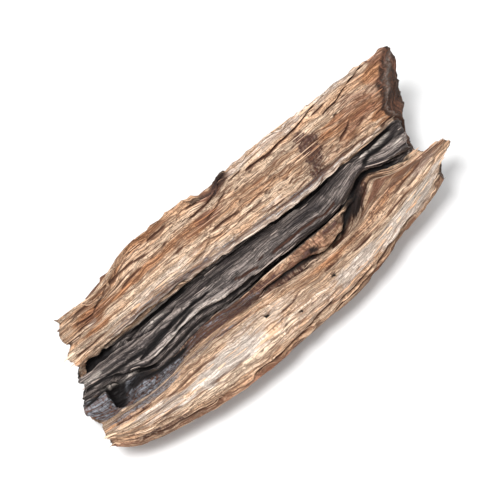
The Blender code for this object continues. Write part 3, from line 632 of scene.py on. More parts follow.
def line_run(points, shares):
    """Places along a grain line. x goes evenly from end to end, and y and z follow a smooth curve through
    the points."""
    points = np.array(points, float)
    knots = (points[:, 0] - points[0, 0]) / (points[-1, 0] - points[0, 0])
    slopes = np.gradient(points, knots, axis=0)
    left = np.clip(np.searchsorted(knots, shares, side="right") - 1, 0, len(knots) - 2)
    width = (knots[left + 1] - knots[left])[:, None]
    t = (shares - knots[left])[:, None] / width
    run = hermite(points[left], points[left + 1], width * slopes[left], width * slopes[left + 1], t)
    run[:, 0] = points[0, 0] + shares * (points[-1, 0] - points[0, 0])
    return run


class Skin(NamedTuple):
    """A grid over the wood: rows are points round a cross-section, and columns are stations along the
    grain. line counts on between the grain lines, across is the mean distance round from the front edge,
    reach is that distance in each cross-section, and furrow is how furrowed the wood is."""

    place: np.ndarray
    line: np.ndarray
    across: np.ndarray
    reach: np.ndarray
    furrow: np.ndarray

    @property
    def along(self):
        return self.place[:, :, 0]


def plain_skin():
    """The skin without relief. Round each cross-section a cubic joins the grain lines, with a slope at each
    line that is the gap-weighted mean of the chords on its two sides, times 1 minus the line's turn.
    Stations lie at u - c sin(2 pi u) / 2 pi for even u, so they crowd at the ends."""
    even = np.linspace(0, 1, STATIONS)
    shares = even - END_CROWDING * np.sin(2 * np.pi * even) / (2 * np.pi)
    knots = np.array([line_run(line.points, shares) for line in LINES])
    before, after = np.roll(knots, 1, axis=0), np.roll(knots, -1, axis=0)
    gap_before = np.linalg.norm(knots - before, axis=2, keepdims=True)
    gap = np.linalg.norm(after - knots, axis=2, keepdims=True)
    slope = (knots - before) * gap / gap_before + (after - knots) * gap_before / gap
    slope *= (1 - np.array([line.turn for line in LINES])[:, None, None]) / (gap_before + gap)
    faces = REFINE * np.array([line.faces for line in LINES])
    owner = np.repeat(np.arange(len(LINES)), faces)
    following = (owner + 1) % len(LINES)
    t = (np.arange(len(owner)) - np.repeat(np.cumsum(faces) - faces, faces)) / faces[owner]
    place = hermite(knots[owner], knots[following], gap[owner] * slope[owner], gap[owner] * slope[following],
                    t[:, None, None])
    steps = np.linalg.norm(np.diff(place, axis=0), axis=2)
    reach = np.concatenate([np.zeros((1, STATIONS)), np.cumsum(steps, axis=0)])
    mean_gap = gap.mean(axis=(1, 2))
    across = (np.cumsum(mean_gap) - mean_gap)[owner] + t * mean_gap[owner]
    furrow = np.array([line.furrow for line in LINES])
    return Skin(place, owner + t, across, reach, furrow[owner] + t * (furrow[following] - furrow[owner]))


def scatter(column, row, seed):
    """A number from -1 to 1 for each whole pair (column, row), always the same one."""
    by_column, by_row, by_seed = SCATTER_FACTORS
    mixed = np.sin(column * by_column + row * by_row + seed * by_seed) * SCATTER_SIZE
    return 2 * (mixed - np.floor(mixed)) - 1


def smooth_noise(across, along, seed):
    """Scattered numbers at whole places, blended smoothly between them."""
    column, row = np.floor(across), np.floor(along)
    a, b = across - column, along - row
    a, b = a * a * (3 - 2 * a), b * b * (3 - 2 * b)
    near = scatter(column, row, seed) * (1 - a) + scatter(column + 1, row, seed) * a
    far = scatter(column, row + 1, seed) * (1 - a) + scatter(column + 1, row + 1, seed) * a
    return near * (1 - b) + far * b


def grain_noise(skin, width, length, seed):
    """Noise on the skin, drawn out along the grain."""
    return smooth_noise(skin.across[:, None] / width, skin.along / length, seed)


def ragged_line(skin, ragged, seed):
    """The line number at each point, shifted by noise of a width, a length and an amount."""
    width, length, amount = ragged
    return skin.line[:, None] + amount * grain_noise(skin, width, length, seed)


def row_of(line):
    """The row, as a fraction, at a line number."""
    starts = REFINE * np.cumsum([0] + [line.faces for line in LINES])
    return np.interp(line, np.arange(len(starts)), starts)


def reach_at(skin, lines):
    """How far round each cross-section lies the line number given for it."""
    row = row_of(lines)
    low = np.floor(row).astype(int)
    part = row - low
    column = np.arange(len(lines))
    return skin.reach[low, column] * (1 - part) + skin.reach[low + 1, column] * part


def outward(grid):
    """Unit vectors out of the skin at each point of the grid."""
    around = np.roll(grid, -1, axis=0) - np.roll(grid, 1, axis=0)
    normal = np.cross(np.gradient(grid, axis=1), around)
    return normal / np.linalg.norm(normal, axis=2, keepdims=True)


def run_cuts(skin, run, number):
    """How much of a run each point is in: 1 on its middle, less on its sloping edges and where its ends
    taper. Its width and its place wander a little. The second answer is how strong its mark is."""
    xs, lines, halves = np.array(run.places, float).T
    along = skin.along[int(row_of(lines.mean()))]
    (stray, stray_length), (swell, swell_length) = RUN_STRAY, RUN_SWELL
    centre = reach_at(skin, np.interp(along, xs, lines))
    centre = centre + stray * smooth_noise(along * 0 + number, along / stray_length, RUN_SEED)
    taper = smoothstep(0, RUN_TAPER, np.minimum(along - xs[0], xs[-1] - along))
    added, factor = RUN_SPREAD[run.mark]
    half = added + factor * np.interp(along, xs, halves)
    half *= 1 + swell * smooth_noise(along * 0 + number, along / swell_length, RUN_SEED + 1)
    away = np.abs(skin.reach - centre)
    slope = np.clip(1 - away / (half + RUN_SLOPE), 0, 1) * np.sqrt(taper)
    return slope, smoothstep(half + RUN_FRINGE, half * RUN_HEART, away) * smoothstep(0.1, 0.5, taper)


def run_relief(skin, marks):
    """How deep the runs cut in, less how far the raised ones stand out. Their marks are set too."""
    depth, raised = np.zeros((2, *skin.reach.shape))
    for number, run in enumerate(RUNS):
        slope, shown = run_cuts(skin, run, number)
        if run.depth > 0:
            depth = np.maximum(depth, run.depth * slope)
        else:
            raised -= run.depth * slope * slope
        marks[run.mark] = np.maximum(marks[run.mark], run.strength * shown)
    return depth - raised


def layer_relief(skin):
    """Layers of wood that end in tongues along the grain: each is a smooth step where noise passes a
    level."""
    height = np.zeros(skin.reach.shape)
    ragged_width, ragged_length, amount = LAYER_RAGGED
    for octave, (width, length, thick, bare) in enumerate(LAYERS):
        noise = grain_noise(skin, width, length, LAYER_SEED + octave)
        noise += amount * grain_noise(skin, ragged_width, ragged_length, LAYER_SEED + octave + 5)
        height += thick * (smoothstep(-LAYER_STEP, LAYER_STEP, noise - bare) - 0.5)
    return height


def wall_share(skin):
    """1 on the part of the wall where the fibres lean across the grain lines."""
    line, lip, crest = skin.line[:, None], LINE_NUMBER["lip"], LINE_NUMBER["crest"]
    on_wall = smoothstep(lip + 0.1, lip + 0.5, line) * smoothstep(crest + 0.2, crest - 0.1, line)
    return on_wall * smoothstep(*WALL_LEAN_START, skin.along)


def fibre_relief(skin):
    """Bundles and fibres: the root of the size of stretched noise, so that valleys are sharp."""
    along, across = skin.along, skin.across[:, None]
    wall = wall_share(skin)
    height = np.zeros(along.shape)
    sway_width, sway_length, amount = FIBRE_SWAY
    sway = amount * grain_noise(skin, sway_width, sway_length, FIBRE_SEED + 10)
    for octave, (width, length, depth) in enumerate(FIBRES):
        plain = smooth_noise((across + sway) / width, along / length, FIBRE_SEED + octave)
        leaning = smooth_noise((across + WALL_SWAY * sway - WALL_LEAN * along) / width,
                               along / (WALL_LENGTH * length), FIBRE_SEED + octave + 20)
        for noise, share in ((plain, 1 - wall), (leaning, wall)):
            height += depth * (np.sqrt(np.abs(noise)) - FIBRE_MEAN) * share
    return height


def lump_relief(skin):
    """Lumps that are nearly as wide as they are long."""
    return sum(height * grain_noise(skin, size, LUMP_STRETCH * size, PATCH_SEED + 20 + number)
               for number, (size, height) in enumerate(LUMPS))


def edge_relief(skin):
    """Small bites and rises along the frayed edges."""
    along = skin.along
    height = np.zeros(along.shape)
    for number, (name, amount) in enumerate(FRAYED_EDGES):
        edge = skin.reach[int(row_of(LINE_NUMBER[name]))]
        near = np.exp(-((skin.reach - edge) / EDGE_REACH) ** 2)
        bites = sum(share * smooth_noise(along / length, along * 0 + number, RUN_SEED + 30 + octave)
                    for octave, (length, share) in enumerate(EDGE_BITES))
        height += amount * bites * near
    return height


def patch_mark(skin, mark):
    """How strong a mark is at each point: the most of its patches, each falling off from its middle, and
    frayed along the grain by stretched noise."""
    fray = sum(amount * grain_noise(skin, width, length, PATCH_SEED + octave)
               for octave, (width, length, amount) in enumerate(PATCH_FRAYS))
    most = np.zeros(skin.reach.shape)
    for x, line, half_length, half_width, strength in PATCHES.get(mark, ()):
        middle = skin.reach[int(row_of(line))]
        out = np.hypot((skin.along - x) / half_length, (skin.reach - middle) / half_width)
        out += fray * COMPACT_FRAY.get(mark, 1.0)
        most = np.maximum(most, strength * smoothstep(*PATCH_EDGE, out))
    return most


def relief_shading_mark(height):
    """How far each point lies below the mean of the wood beside it, from -1 to 1, for painted shade in the
    valleys between fibres and a painted highlight on the ridges.
    """
    beside = sum(np.roll(height, step, axis=0) for step in range(-RELIEF_SHADING_ROWS, RELIEF_SHADING_ROWS + 1))
    return np.clip((beside / (2 * RELIEF_SHADING_ROWS + 1) - height) / RELIEF_SHADING_DEPTH, -1, 1)


def resin_mark(skin):
    """The dark core, from the long split to the groove, with a ragged border."""
    line = ragged_line(skin, RESIN_RAGGED, PATCH_SEED + 3)
    low, high = LINE_NUMBER["split"], LINE_NUMBER["groove"]
    return smoothstep(low - 0.9, low - 0.2, line) * (1 - smoothstep(high + 0.25, high + 0.6, line))


def weather_mark(skin):
    """The browned back and underside, from just behind the crest round to the front edge, where it is
    weaker."""
    line = ragged_line(skin, WEATHER_RAGGED, PATCH_SEED + 4)
    behind = smoothstep(LINE_NUMBER["crest"] + 0.7, LINE_NUMBER["crest"] + 1.4, line)
    return np.maximum(behind, 0.6 * smoothstep(0.4, 0.05, line))


def dressed_skin(form):
    """The skin with its relief, and its marks."""
    skin = plain_skin()
    marks = {mark: patch_mark(skin, mark) for mark in MARKS}
    marks["resin"] = resin_mark(skin)
    marks["weather"] = weather_mark(skin)
    depth = run_relief(skin, marks)
    rough = skin.furrow[:, None]
    calm = CORE_CALM * marks["resin"] * smoothstep(*CORE_CALM_START, skin.along)
    calm = 1 - calm * smoothstep(*CORE_CALM_END[::-1], skin.along)
    height = np.zeros(skin.reach.shape)
    for octave, (width, length, drop) in enumerate(FURROWS):
        height += form.furrows * drop * grain_noise(skin, width, length, FURROW_SEED + octave) * rough
    height += form.furrows * layer_relief(skin) * rough * calm
    fibres = form.fibres * fibre_relief(skin) * (SMOOTH_FIBRES + ROUGH_FIBRES * rough)
    height += fibres * calm * (1 - ROT_SMOOTH * marks["rot"])
    height += lump_relief(skin) * marks["rugged"] + edge_relief(skin)
    height -= form.cracks * depth
    # Painted shade for the valleys and a painted highlight for the ridges.
    marks["relief_shading"] = relief_shading_mark(height)
    return skin._replace(place=skin.place + outward(skin.place) * height[:, :, None]), marks


def broken_ends(grid, upper):
    """Adds rows at both ends, in which the upper and lower skins close on a line half-way between them."""
    partner = np.concatenate([np.arange(upper + 1), np.arange(upper - 2, 0, -2)])
    share = np.arange(upper + 1) / upper
    halves = np.arange(upper + 1) / 2
    ends = ((grid[:, 0], LEFT_FLARE, LEFT_EASE), (grid[:, -1], RIGHT_FLARE, RIGHT_EASE))
    reach = ((np.arange(1, CAP_ROWS + 1) / CAP_ROWS) ** CAP_EASE)[None, :, None]
    caps = []
    for ring, flare, ease in ends:
        underside = np.vstack([ring[upper:], ring[:1]])[::-1]
        facing = np.stack([np.interp(halves, np.arange(len(underside)), underside[:, axis])
                           for axis in range(3)], axis=1)
        middle = (ring[:upper + 1] + facing) / 2
        middle += (middle.mean(axis=0) - middle) * CAP_SHRINK
        lean = np.interp(share, FLARE_PLACES, flare)[partner][:, None, None]
        cap = ring[:, None] * (1 - reach) + middle[partner][:, None] * reach
        cap[:, :, :1] += lean * (1 - np.exp(-reach / ease))
        caps.append(cap)
    return np.concatenate([caps[0][:, ::-1], grid, caps[1]], axis=1)


def torn(points, strength):
    """Shifts each fibre near a broken end along the grain, so that the ends are ragged. The shift is noise
    of the place in the cross-section, at three widths. The finer noise n is n / (b + |n|) with b the blunt
    tear's constant, for blunt bundles."""
    column = np.arange(points.shape[1])
    first, last = CAP_ROWS, points.shape[1] - 1 - CAP_ROWS
    inner_x = points[:, np.clip(column, first, last), 0]
    from_end = np.minimum(inner_x - points[:, first:first + 1, 0], points[:, last:last + 1, 0] - inner_x)
    shift = np.zeros(from_end.shape)
    for depth, width, reach, seed in TEARS:
        fade = np.clip(1 - from_end / reach, 0, 1)
        noise = smooth_noise(points[:, :, 1] / width, points[:, :, 2] / width, seed)
        shift += depth * fade * (noise if depth > 1 else noise / (BLUNT_TEAR + np.abs(noise)))
    points[:, :, 0] += strength * shift
    return points


def darken(marks, amount):
    """Raises the mark of black colour and painted shade to an amount."""
    marks["void"] = np.maximum(marks["void"], amount)


def splintered(points, marks):
    """Raises the dark splinter on the crest: a tent over the skin, with a ragged top."""
    x, y = points[:, :, 0] - SPLINTER_PLACE[0], points[:, :, 1] - SPLINTER_PLACE[1]
    tent = np.clip(1 - np.hypot(x / SPLINTER_REACH[0], y / SPLINTER_REACH[1]), 0, 1)
    tent *= points[:, :, 2] > SPLINTER_FLOOR
    grain = smooth_noise(points[:, :, 0] / SPLINTER_GRAIN, points[:, :, 1] / SPLINTER_GRAIN, PATCH_SEED + 9)
    points[:, :, 2] += SPLINTER_HEIGHT * tent * (1 + SPLINTER_RAGGED * grain)
    darken(marks, SPLINTER_DARK * smoothstep(0, 0.3, tent))


def hollowed(points, marks):
    """Pushes the skin in at the rotted hollow. The depth is 1 minus a power of the way out from the middle
    of the mouth, and the root of that at the left and the back, for a steep rim. To the right the power is
    lower, so that the floor rises evenly."""
    x, y = points[:, :, 0] - HOLLOW_MOUTH[0], points[:, :, 1] - HOLLOW_MOUTH[1]
    left, right, front, back = HOLLOW_REACH
    length, width, amount = HOLLOW_RAGGED
    out = np.hypot(x / np.where(x < 0, left, right), y / np.where(y < 0, front, back))
    out += amount * smooth_noise(points[:, :, 0] / length, points[:, :, 1] / width, PATCH_SEED + 8)
    power = HOLLOW_POWER - HOLLOW_POWER_LOSS * smoothstep(0, 4, x)
    steep = smoothstep(1, -1, x) * smoothstep(-2, 0, y)
    depth = HOLLOW_DEPTH * np.clip(1 - np.clip(out, 0, 1) ** power, 0, 1) ** (1 - 0.5 * steep)
    depth *= points[:, :, 2] > HOLLOW_FLOOR
    points[:, :, 0] += depth * math.sin(HOLLOW_LEAN)
    points[:, :, 2] -= depth * math.cos(HOLLOW_LEAN)
    # Painted shadow on the hollow's shaded side.
    shaded = smoothstep(-1.5, 1.5, y - HOLLOW_SHADE[0] * x - HOLLOW_SHADE[1])
    darken(marks, smoothstep(*HOLLOW_BLACK, depth) * shaded)


def pinholed(skin, points, marks):
    """Pushes in the insect holes, and paints shade in them with the black mark."""
    normal = outward(skin.place)
    inside, past = PINHOLE_RIM
    for x, line, radius in PINHOLES:
        away = np.hypot(skin.reach - skin.reach[int(row_of(line))], skin.along - x)
        hole = smoothstep(radius + past, radius - inside, away)
        points[:, CAP_ROWS:-CAP_ROWS] -= normal * (PINHOLE_DEPTH * hole)[:, :, None]
        darken(marks, np.pad(hole, ((0, 0), (CAP_ROWS, CAP_ROWS))))


def pinhole_places():
    """The middle of each insect hole in the straight grain, and its radius."""
    mean = plain_skin().place.mean(axis=1)
    return [((x, *mean[int(row_of(line)), 1:]), radius) for x, line, radius in PINHOLES]


def closed_faces(ring, columns, upper):
    """Corner numbers of the faces: quads, and triangles where the underside meets every second point of the
    upper skin in the closing rows."""
    index = np.arange(ring * columns).reshape(ring, columns)
    partner = np.arange(upper - 2, 0, -2)
    index[upper + 1:, 0] = index[partner, 0]
    index[upper + 1:, -1] = index[partner, -1]
    after = np.roll(index, -1, axis=0)
    quads = np.stack([index[:, :-1], index[:, 1:], after[:, 1:], after[:, :-1]], axis=2)
    low = np.arange(upper, ring)
    between = 3 * upper - 2 * low - 1
    triangles = []
    for end in (-1, 0):
        a, b, c, d = quads[low, end].T
        m = index[between, end]
        fan = ((a, b, m), (a, m, d), (m, c, d)) if end else ((a, b, m), (b, c, m), (c, d, m))
        triangles += [np.stack(three, axis=1) for three in fan]
    plain = np.concatenate([quads[:upper].reshape(-1, 4), quads[upper:, 1:-1].reshape(-1, 4)])
    return plain, np.concatenate(triangles)


def add_object(name, data):
    """A new object in the scene."""
    made = bpy.data.objects.new(name, data)
    bpy.context.scene.collection.objects.link(made)
    return made


def new_piece(name, points, faces, marks, place):
    """An object from points in drawn millimetres, with its marks and grain places as attributes."""
    mesh = bpy.data.meshes.new(name)
    mesh.from_pydata((points - np.array(DRAWN_MIDDLE)) * MM, [], faces)
    for mark in MARKS:
        attribute = mesh.attributes.new(mark, "FLOAT", "POINT")
        attribute.data.foreach_set("value", marks[mark].astype(np.float32).ravel())
    attribute = mesh.attributes.new("grain_place", "FLOAT_VECTOR", "POINT")
    attribute.data.foreach_set("vector", place.astype(np.float32).ravel())
    mesh.validate()
    mesh.update()
    return add_object(name, mesh)


def break_marks(marks, columns):
    """Adds the marks of the rows that close the broken ends. These are broken, and the marks of the sides
    end there. A thin pale strip follows the right one's edge."""
    closing = ((0, 0), (CAP_ROWS, CAP_ROWS))
    marks = {mark: np.pad(value, closing, mode="edge") for mark, value in marks.items()}
    column = np.arange(columns)
    into_break = np.maximum(CAP_ROWS - column, column - column[-1] + CAP_ROWS) / CAP_ROWS
    at_left = column < CAP_ROWS
    marks["broken"] = marks["broken"] * 0 + smoothstep(*BREAK_EDGE, into_break)
    marks["broken"] *= np.where(at_left, LEFT_BREAK_SHARE, 1.0)
    for mark in ("weather", "pale", "relief_shading", "bleach"):
        marks[mark] = marks[mark] * smoothstep(*BREAK_EDGE[::-1], into_break)
    strip = smoothstep(0.1, 0.02, np.abs(into_break - STRIP_PLACE))
    marks["pale"] += STRIP_STRENGTH * strip * ~at_left
    return marks


def wood_grid(form):
    """All the points of the wood with its broken ends, its marks, and its places in the straight grain: x
    along it, and the mean y and z of each grain line."""
    upper = REFINE * sum(line.faces for line in UPPER_LINES)
    skin, marks = dressed_skin(form)
    straight = skin.place.copy()
    straight[:, :, 1:] = skin.place[:, :, 1:].mean(axis=1, keepdims=True)
    points = broken_ends(skin.place, upper)
    straight = broken_ends(straight, upper)
    marks = break_marks(marks, points.shape[1])
    points = torn(points, form.tears)
    hollowed(points, marks)
    splintered(points, marks)
    pinholed(skin, points, marks)
    points[:, :, 2] = np.maximum(points[:, :, 2], 0)
    return points, marks, straight, upper


def feed(tree, socket, value):
    """Links another node's output to a socket, or sets the socket to a number or a colour."""
    if isinstance(value, bpy.types.NodeSocket):
        tree.links.new(value, socket)
    elif socket.type == "RGBA":
        socket.default_value = (*value, 1)
    else:
        socket.default_value = value


def add_node(tree, kind, inputs=None, **settings):
    """Adds a node. inputs gives its sockets, by name or number, a value or another node's output."""
    node = tree.nodes.new(kind)
    for name, value in settings.items():
        setattr(node, name, value)
    for name, value in (inputs or {}).items():
        feed(tree, node.inputs[name], value)
    return node


def calculate(tree, operation, *values):
    """The result of an operation on one, two or three values."""
    return add_node(tree, "ShaderNodeMath", dict(enumerate(values)), operation=operation).outputs[0]


def times(tree, first, second):
    """The product of two values."""
    return calculate(tree, "MULTIPLY", first, second)


def calculate_vector(tree, operation, *vectors, output="Vector"):
    """What an operation makes of one, two or three vectors: a vector, or a number if the output is Value."""
    node = add_node(tree, "ShaderNodeVectorMath", dict(enumerate(vectors)), operation=operation)
    return node.outputs[output]


def rise(tree, value, low, high, bottom=0.0, top=1.0):
    """A smooth rise from bottom to top as value goes from low to high."""
    node = add_node(tree, "ShaderNodeMapRange",
                    {"Value": value, "From Min": low, "From Max": high, "To Min": bottom, "To Max": top},
                    interpolation_type="SMOOTHSTEP")
    return node.outputs["Result"]


def blend(tree, share, first, second):
    """Mixes two colours."""
    node = add_node(tree, "ShaderNodeMix", data_type="RGBA")
    for number, value in ((0, share), (6, first), (7, second)):
        feed(tree, node.inputs[number], value)
    return node.outputs[2]


def new_group(name, number_input, default, outputs):
    """An empty shader node group with a place and a number as its inputs, and numbers as its outputs."""
    group = bpy.data.node_groups.new(name, "ShaderNodeTree")
    group.interface.new_socket("Place", in_out="INPUT", socket_type="NodeSocketVector")
    socket = group.interface.new_socket(number_input, in_out="INPUT", socket_type="NodeSocketFloat")
    socket.default_value = default
    for output in outputs:
        group.interface.new_socket(output, in_out="OUTPUT", socket_type="NodeSocketFloat")
    return group, group.nodes.new("NodeGroupInput").outputs, group.nodes.new("NodeGroupOutput").inputs


def even_noise(tree, place, scale, detail):
    """Noise that is as long as it is wide, with its features 1 / scale apart in the units of place."""
    noise = add_node(tree, "ShaderNodeTexNoise", {"Vector": place, "Scale": scale, "Detail": detail})
    return noise.outputs["Fac"]


def stretched(tree, place, length, width):
    """Places in units of a length along the grain and a width across it."""
    return calculate_vector(tree, "MULTIPLY", place, (1 / length, 1 / width, 1 / width))


def stretched_noise(tree, place, length, width, detail, roughness=0.6):
    """Noise drawn out along the grain: length along it and width across, in the units of place."""
    noise = add_node(tree, "ShaderNodeTexNoise",
                     {"Vector": stretched(tree, place, length, width), "Scale": 1.0, "Detail": detail,
                      "Roughness": roughness})
    return noise.outputs["Fac"]


# The stretches of wood with thin lines are longer and wider than the lines by these factors.
GATE_LENGTH, GATE_WIDTH = 1.3, 2.7


def thin_lines(tree, place, length, width, thin, share):
    """Thin lines along the grain, where stretched noise passes its middle value. share is how much of the
    wood they are on."""
    noise = stretched_noise(tree, place, length, width, 2.0, 0.5)
    away = calculate(tree, "ABSOLUTE", calculate(tree, "SUBTRACT", noise, 0.5))
    gate = stretched_noise(tree, place, GATE_LENGTH * length, GATE_WIDTH * width, 1.0)
    threshold = calculate(tree, "SUBTRACT", 0.72, times(tree, share, 0.4))
    shown = rise(tree, calculate(tree, "SUBTRACT", gate, threshold), -0.05, 0.05)
    return times(tree, rise(tree, away, 0.0, thin, 1.0, 0.0), shown)


# How far the grain sways across its own run, in millimetres, and how many times in one.
SWAY, SWAY_SCALE = 2.4, 0.11


def grain_group():
    """Wood grain from a place in the straight grain: hair-fine fibres, streaks, broad changes of tone, thin
    dark lines between the fibres, and a height for the bump."""
    group, given, made = new_group("Wood Grain", "Line Share", 0.5,
                                   ("Fibres", "Streaks", "Tone", "Dark Lines", "Height"))
    sway = add_node(group, "ShaderNodeTexNoise",
                    {"Vector": given["Place"], "Scale": SWAY_SCALE, "Detail": 2.0})
    swayed = calculate_vector(group, "MULTIPLY_ADD", sway.outputs["Color"], (0, SWAY, SWAY), given["Place"])
    fibres = stretched_noise(group, swayed, 10.0, 0.36, 5.0, 0.62)
    streaks = stretched_noise(group, swayed, 40.0, 1.9, 4.0)
    tone = stretched_noise(group, swayed, 16.0, 5.0, 3.0)
    coarse = thin_lines(group, swayed, 30.0, 1.2, 0.05, given["Line Share"])
    fine = thin_lines(group, swayed, 14.0, 0.55, 0.06, given["Line Share"])
    dark = calculate(group, "MAXIMUM", coarse, times(group, fine, 0.7))
    height = calculate(group, "SUBTRACT", fibres, times(group, dark, 0.5))
    for socket, value in zip(made, (fibres, streaks, tone, dark, height)):
        feed(group, socket, value)
    return group


# The cells of the pore dashes, in millimetres, how far they lean across the grain, and from which to which
# share of a cell a dash fades out.
DASH_LENGTH, DASH_WIDTH = 3.4, 0.9
DASH_LEAN = 0.16
DASH_EDGE = (0.16, 0.3)


def dash_group():
    """Short dark dashes, which are pores and phloem seen from the side: the middles of drawn-out cells, of
    which the share given is shown."""
    group, given, made = new_group("Pore Dashes", "Share", 0.5, ("Dashes",))
    part = add_node(group, "ShaderNodeSeparateXYZ", {0: given["Place"]}).outputs
    leaned = calculate(group, "ADD", part["Z"], times(group, part["X"], -DASH_LEAN))
    turned = add_node(group, "ShaderNodeCombineXYZ",
                      {"X": part["X"], "Y": part["Y"], "Z": leaned}).outputs[0]
    cells = add_node(group, "ShaderNodeTexVoronoi",
                     {"Vector": stretched(group, turned, DASH_LENGTH, DASH_WIDTH), "Scale": 1.0}).outputs
    spot = rise(group, cells["Distance"], *DASH_EDGE, 1.0, 0.0)
    chance = add_node(group, "ShaderNodeSeparateColor", {0: cells["Color"]}).outputs["Red"]
    shown = calculate(group, "LESS_THAN", chance, given["Share"])
    feed(group, made["Dashes"], times(group, spot, shown))
    return group


def read_mark(tree, name, output="Fac"):
    """What a mesh attribute says at each point of the surface."""
    node = add_node(tree, "ShaderNodeAttribute", attribute_name=name, attribute_type="GEOMETRY")
    return node.outputs[output]


def new_material(name):
    """An empty material: its tree, and its Principled BSDF."""
    material = bpy.data.materials.new(name)
    material.use_nodes = True
    tree = material.node_tree
    return material, tree, tree.nodes["Principled BSDF"]


def add_bump(tree, shader, height, strength, distance):
    """Feeds a height to a shader as a bump, which is as deep as the distance in millimetres."""
    bump = add_node(tree, "ShaderNodeBump",
                    {"Height": height, "Strength": strength, "Distance": distance * MM})
    feed(tree, shader.inputs["Normal"], bump.outputs["Normal"])


def place_group(tree, group, inputs):
    """Uses a node group, and gives its outputs."""
    return add_node(tree, "ShaderNodeGroup", inputs, node_tree=group).outputs


def sound_wood(tree, grain, colours):
    """The pale wood's colour: cream and tan streaks, and ochre ones where they are marked."""
    colour = blend(tree, rise(tree, grain["Streaks"], 0.33, 0.67), colours.cream, colours.tan)
    ochre = calculate(tree, "ADD", read_mark(tree, "ochre"),
                      calculate(tree, "MULTIPLY_ADD", grain["Streaks"], 1.8, -1.0))
    return blend(tree, times(tree, rise(tree, ochre, 0.1, 0.9), 0.85), colour, colours.ochre)


def break_splinters(tree, place):
    """Noise drawn out along the slant of the wall, for the splinters that lie across the broken ends."""
    turned = add_node(tree, "ShaderNodeCombineXYZ")
    for axis, direction in enumerate(BREAK_AXES):
        along = calculate_vector(tree, "DOT_PRODUCT", place, direction, output="Value")
        feed(tree, turned.inputs[axis], along)
    return stretched_noise(tree, turned.outputs[0], 20.0, 1.7, 4.0)


def pinhole_mask(tree, place, holes):
    """1 inside the insect holes, which are balls round the given places: the painted shade in them."""
    mask = 0.0
    for middle, radius in holes:
        away = calculate_vector(tree, "DISTANCE", place, middle, output="Value")
        hole = rise(tree, away, 0.7 * radius, 1.2 * radius, 1.0, 0.0)
        mask = calculate(tree, "MAXIMUM", mask, hole)
    return mask


def core_colour(tree, grain, relief_shading, colours):
    """The resin core's colour: dark, with lighter ribs on the tops of its fibres and lighter bands that are
    partly wear and partly painted highlight.
    """
    ribs = calculate(tree, "MULTIPLY_ADD", grain["Fibres"], 0.5, times(tree, grain["Streaks"], 0.5))
    # Painted shade: the ribs are darker in the valleys between fibres.
    ribs = calculate(tree, "SUBTRACT", ribs, times(tree, relief_shading, 0.1))
    # Lighter bands, partly wear and partly painted highlight.
    ribs = calculate(tree, "ADD", ribs, times(tree, read_mark(tree, "worn_and_highlight"), 0.16))
    return blend(tree, rise(tree, ribs, 0.42, 0.68), colours.resin_dark, colours.resin_light)


def stain_and_shade_share(tree, fraying, speck):
    """How much of the purple-brown colour the wood takes, partly real stains and partly painted shade: its
    mark, frayed and blotched, and uneven inside.
    """
    stained = calculate(tree, "MULTIPLY_ADD", fraying, 0.25, read_mark(tree, "stain_and_shade"))
    stained = calculate(tree, "MULTIPLY_ADD", calculate(tree, "SUBTRACT", speck, 0.5), 1.4, stained)
    return times(tree, rise(tree, stained, 0.1, 0.75), rise(tree, speck, 0.35, 0.6, 0.75, 1.0))


def shaded_wood(tree, colour, place, grain, relief_shading, speck):
    """The colour, made lighter and darker by blotches, fibres, pores and broad tones, with a painted
    highlight on the ridges.
    """
    blotch = rise(tree, speck, 0.4, 0.6, -0.55, 0.1)
    shade = calculate(tree, "MULTIPLY_ADD", blotch, read_mark(tree, "rugged"), 1.0)
    for value, *limits in ((grain["Fibres"], 0.32, 0.68, 0.76, 1.14),
                           (even_noise(tree, place, 2.4, 1.0), 0.3, 0.5, 0.74, 1.05),
                           (grain["Tone"], 0.35, 0.65, 0.76, 1.1),
                           (relief_shading, -0.8, 0.2, 1.1, 1.0)):
        shade = times(tree, shade, rise(tree, value, *limits))
    scaled = add_node(tree, "ShaderNodeVectorMath", {0: colour, "Scale": shade}, operation="SCALE")
    return scaled.outputs[0]


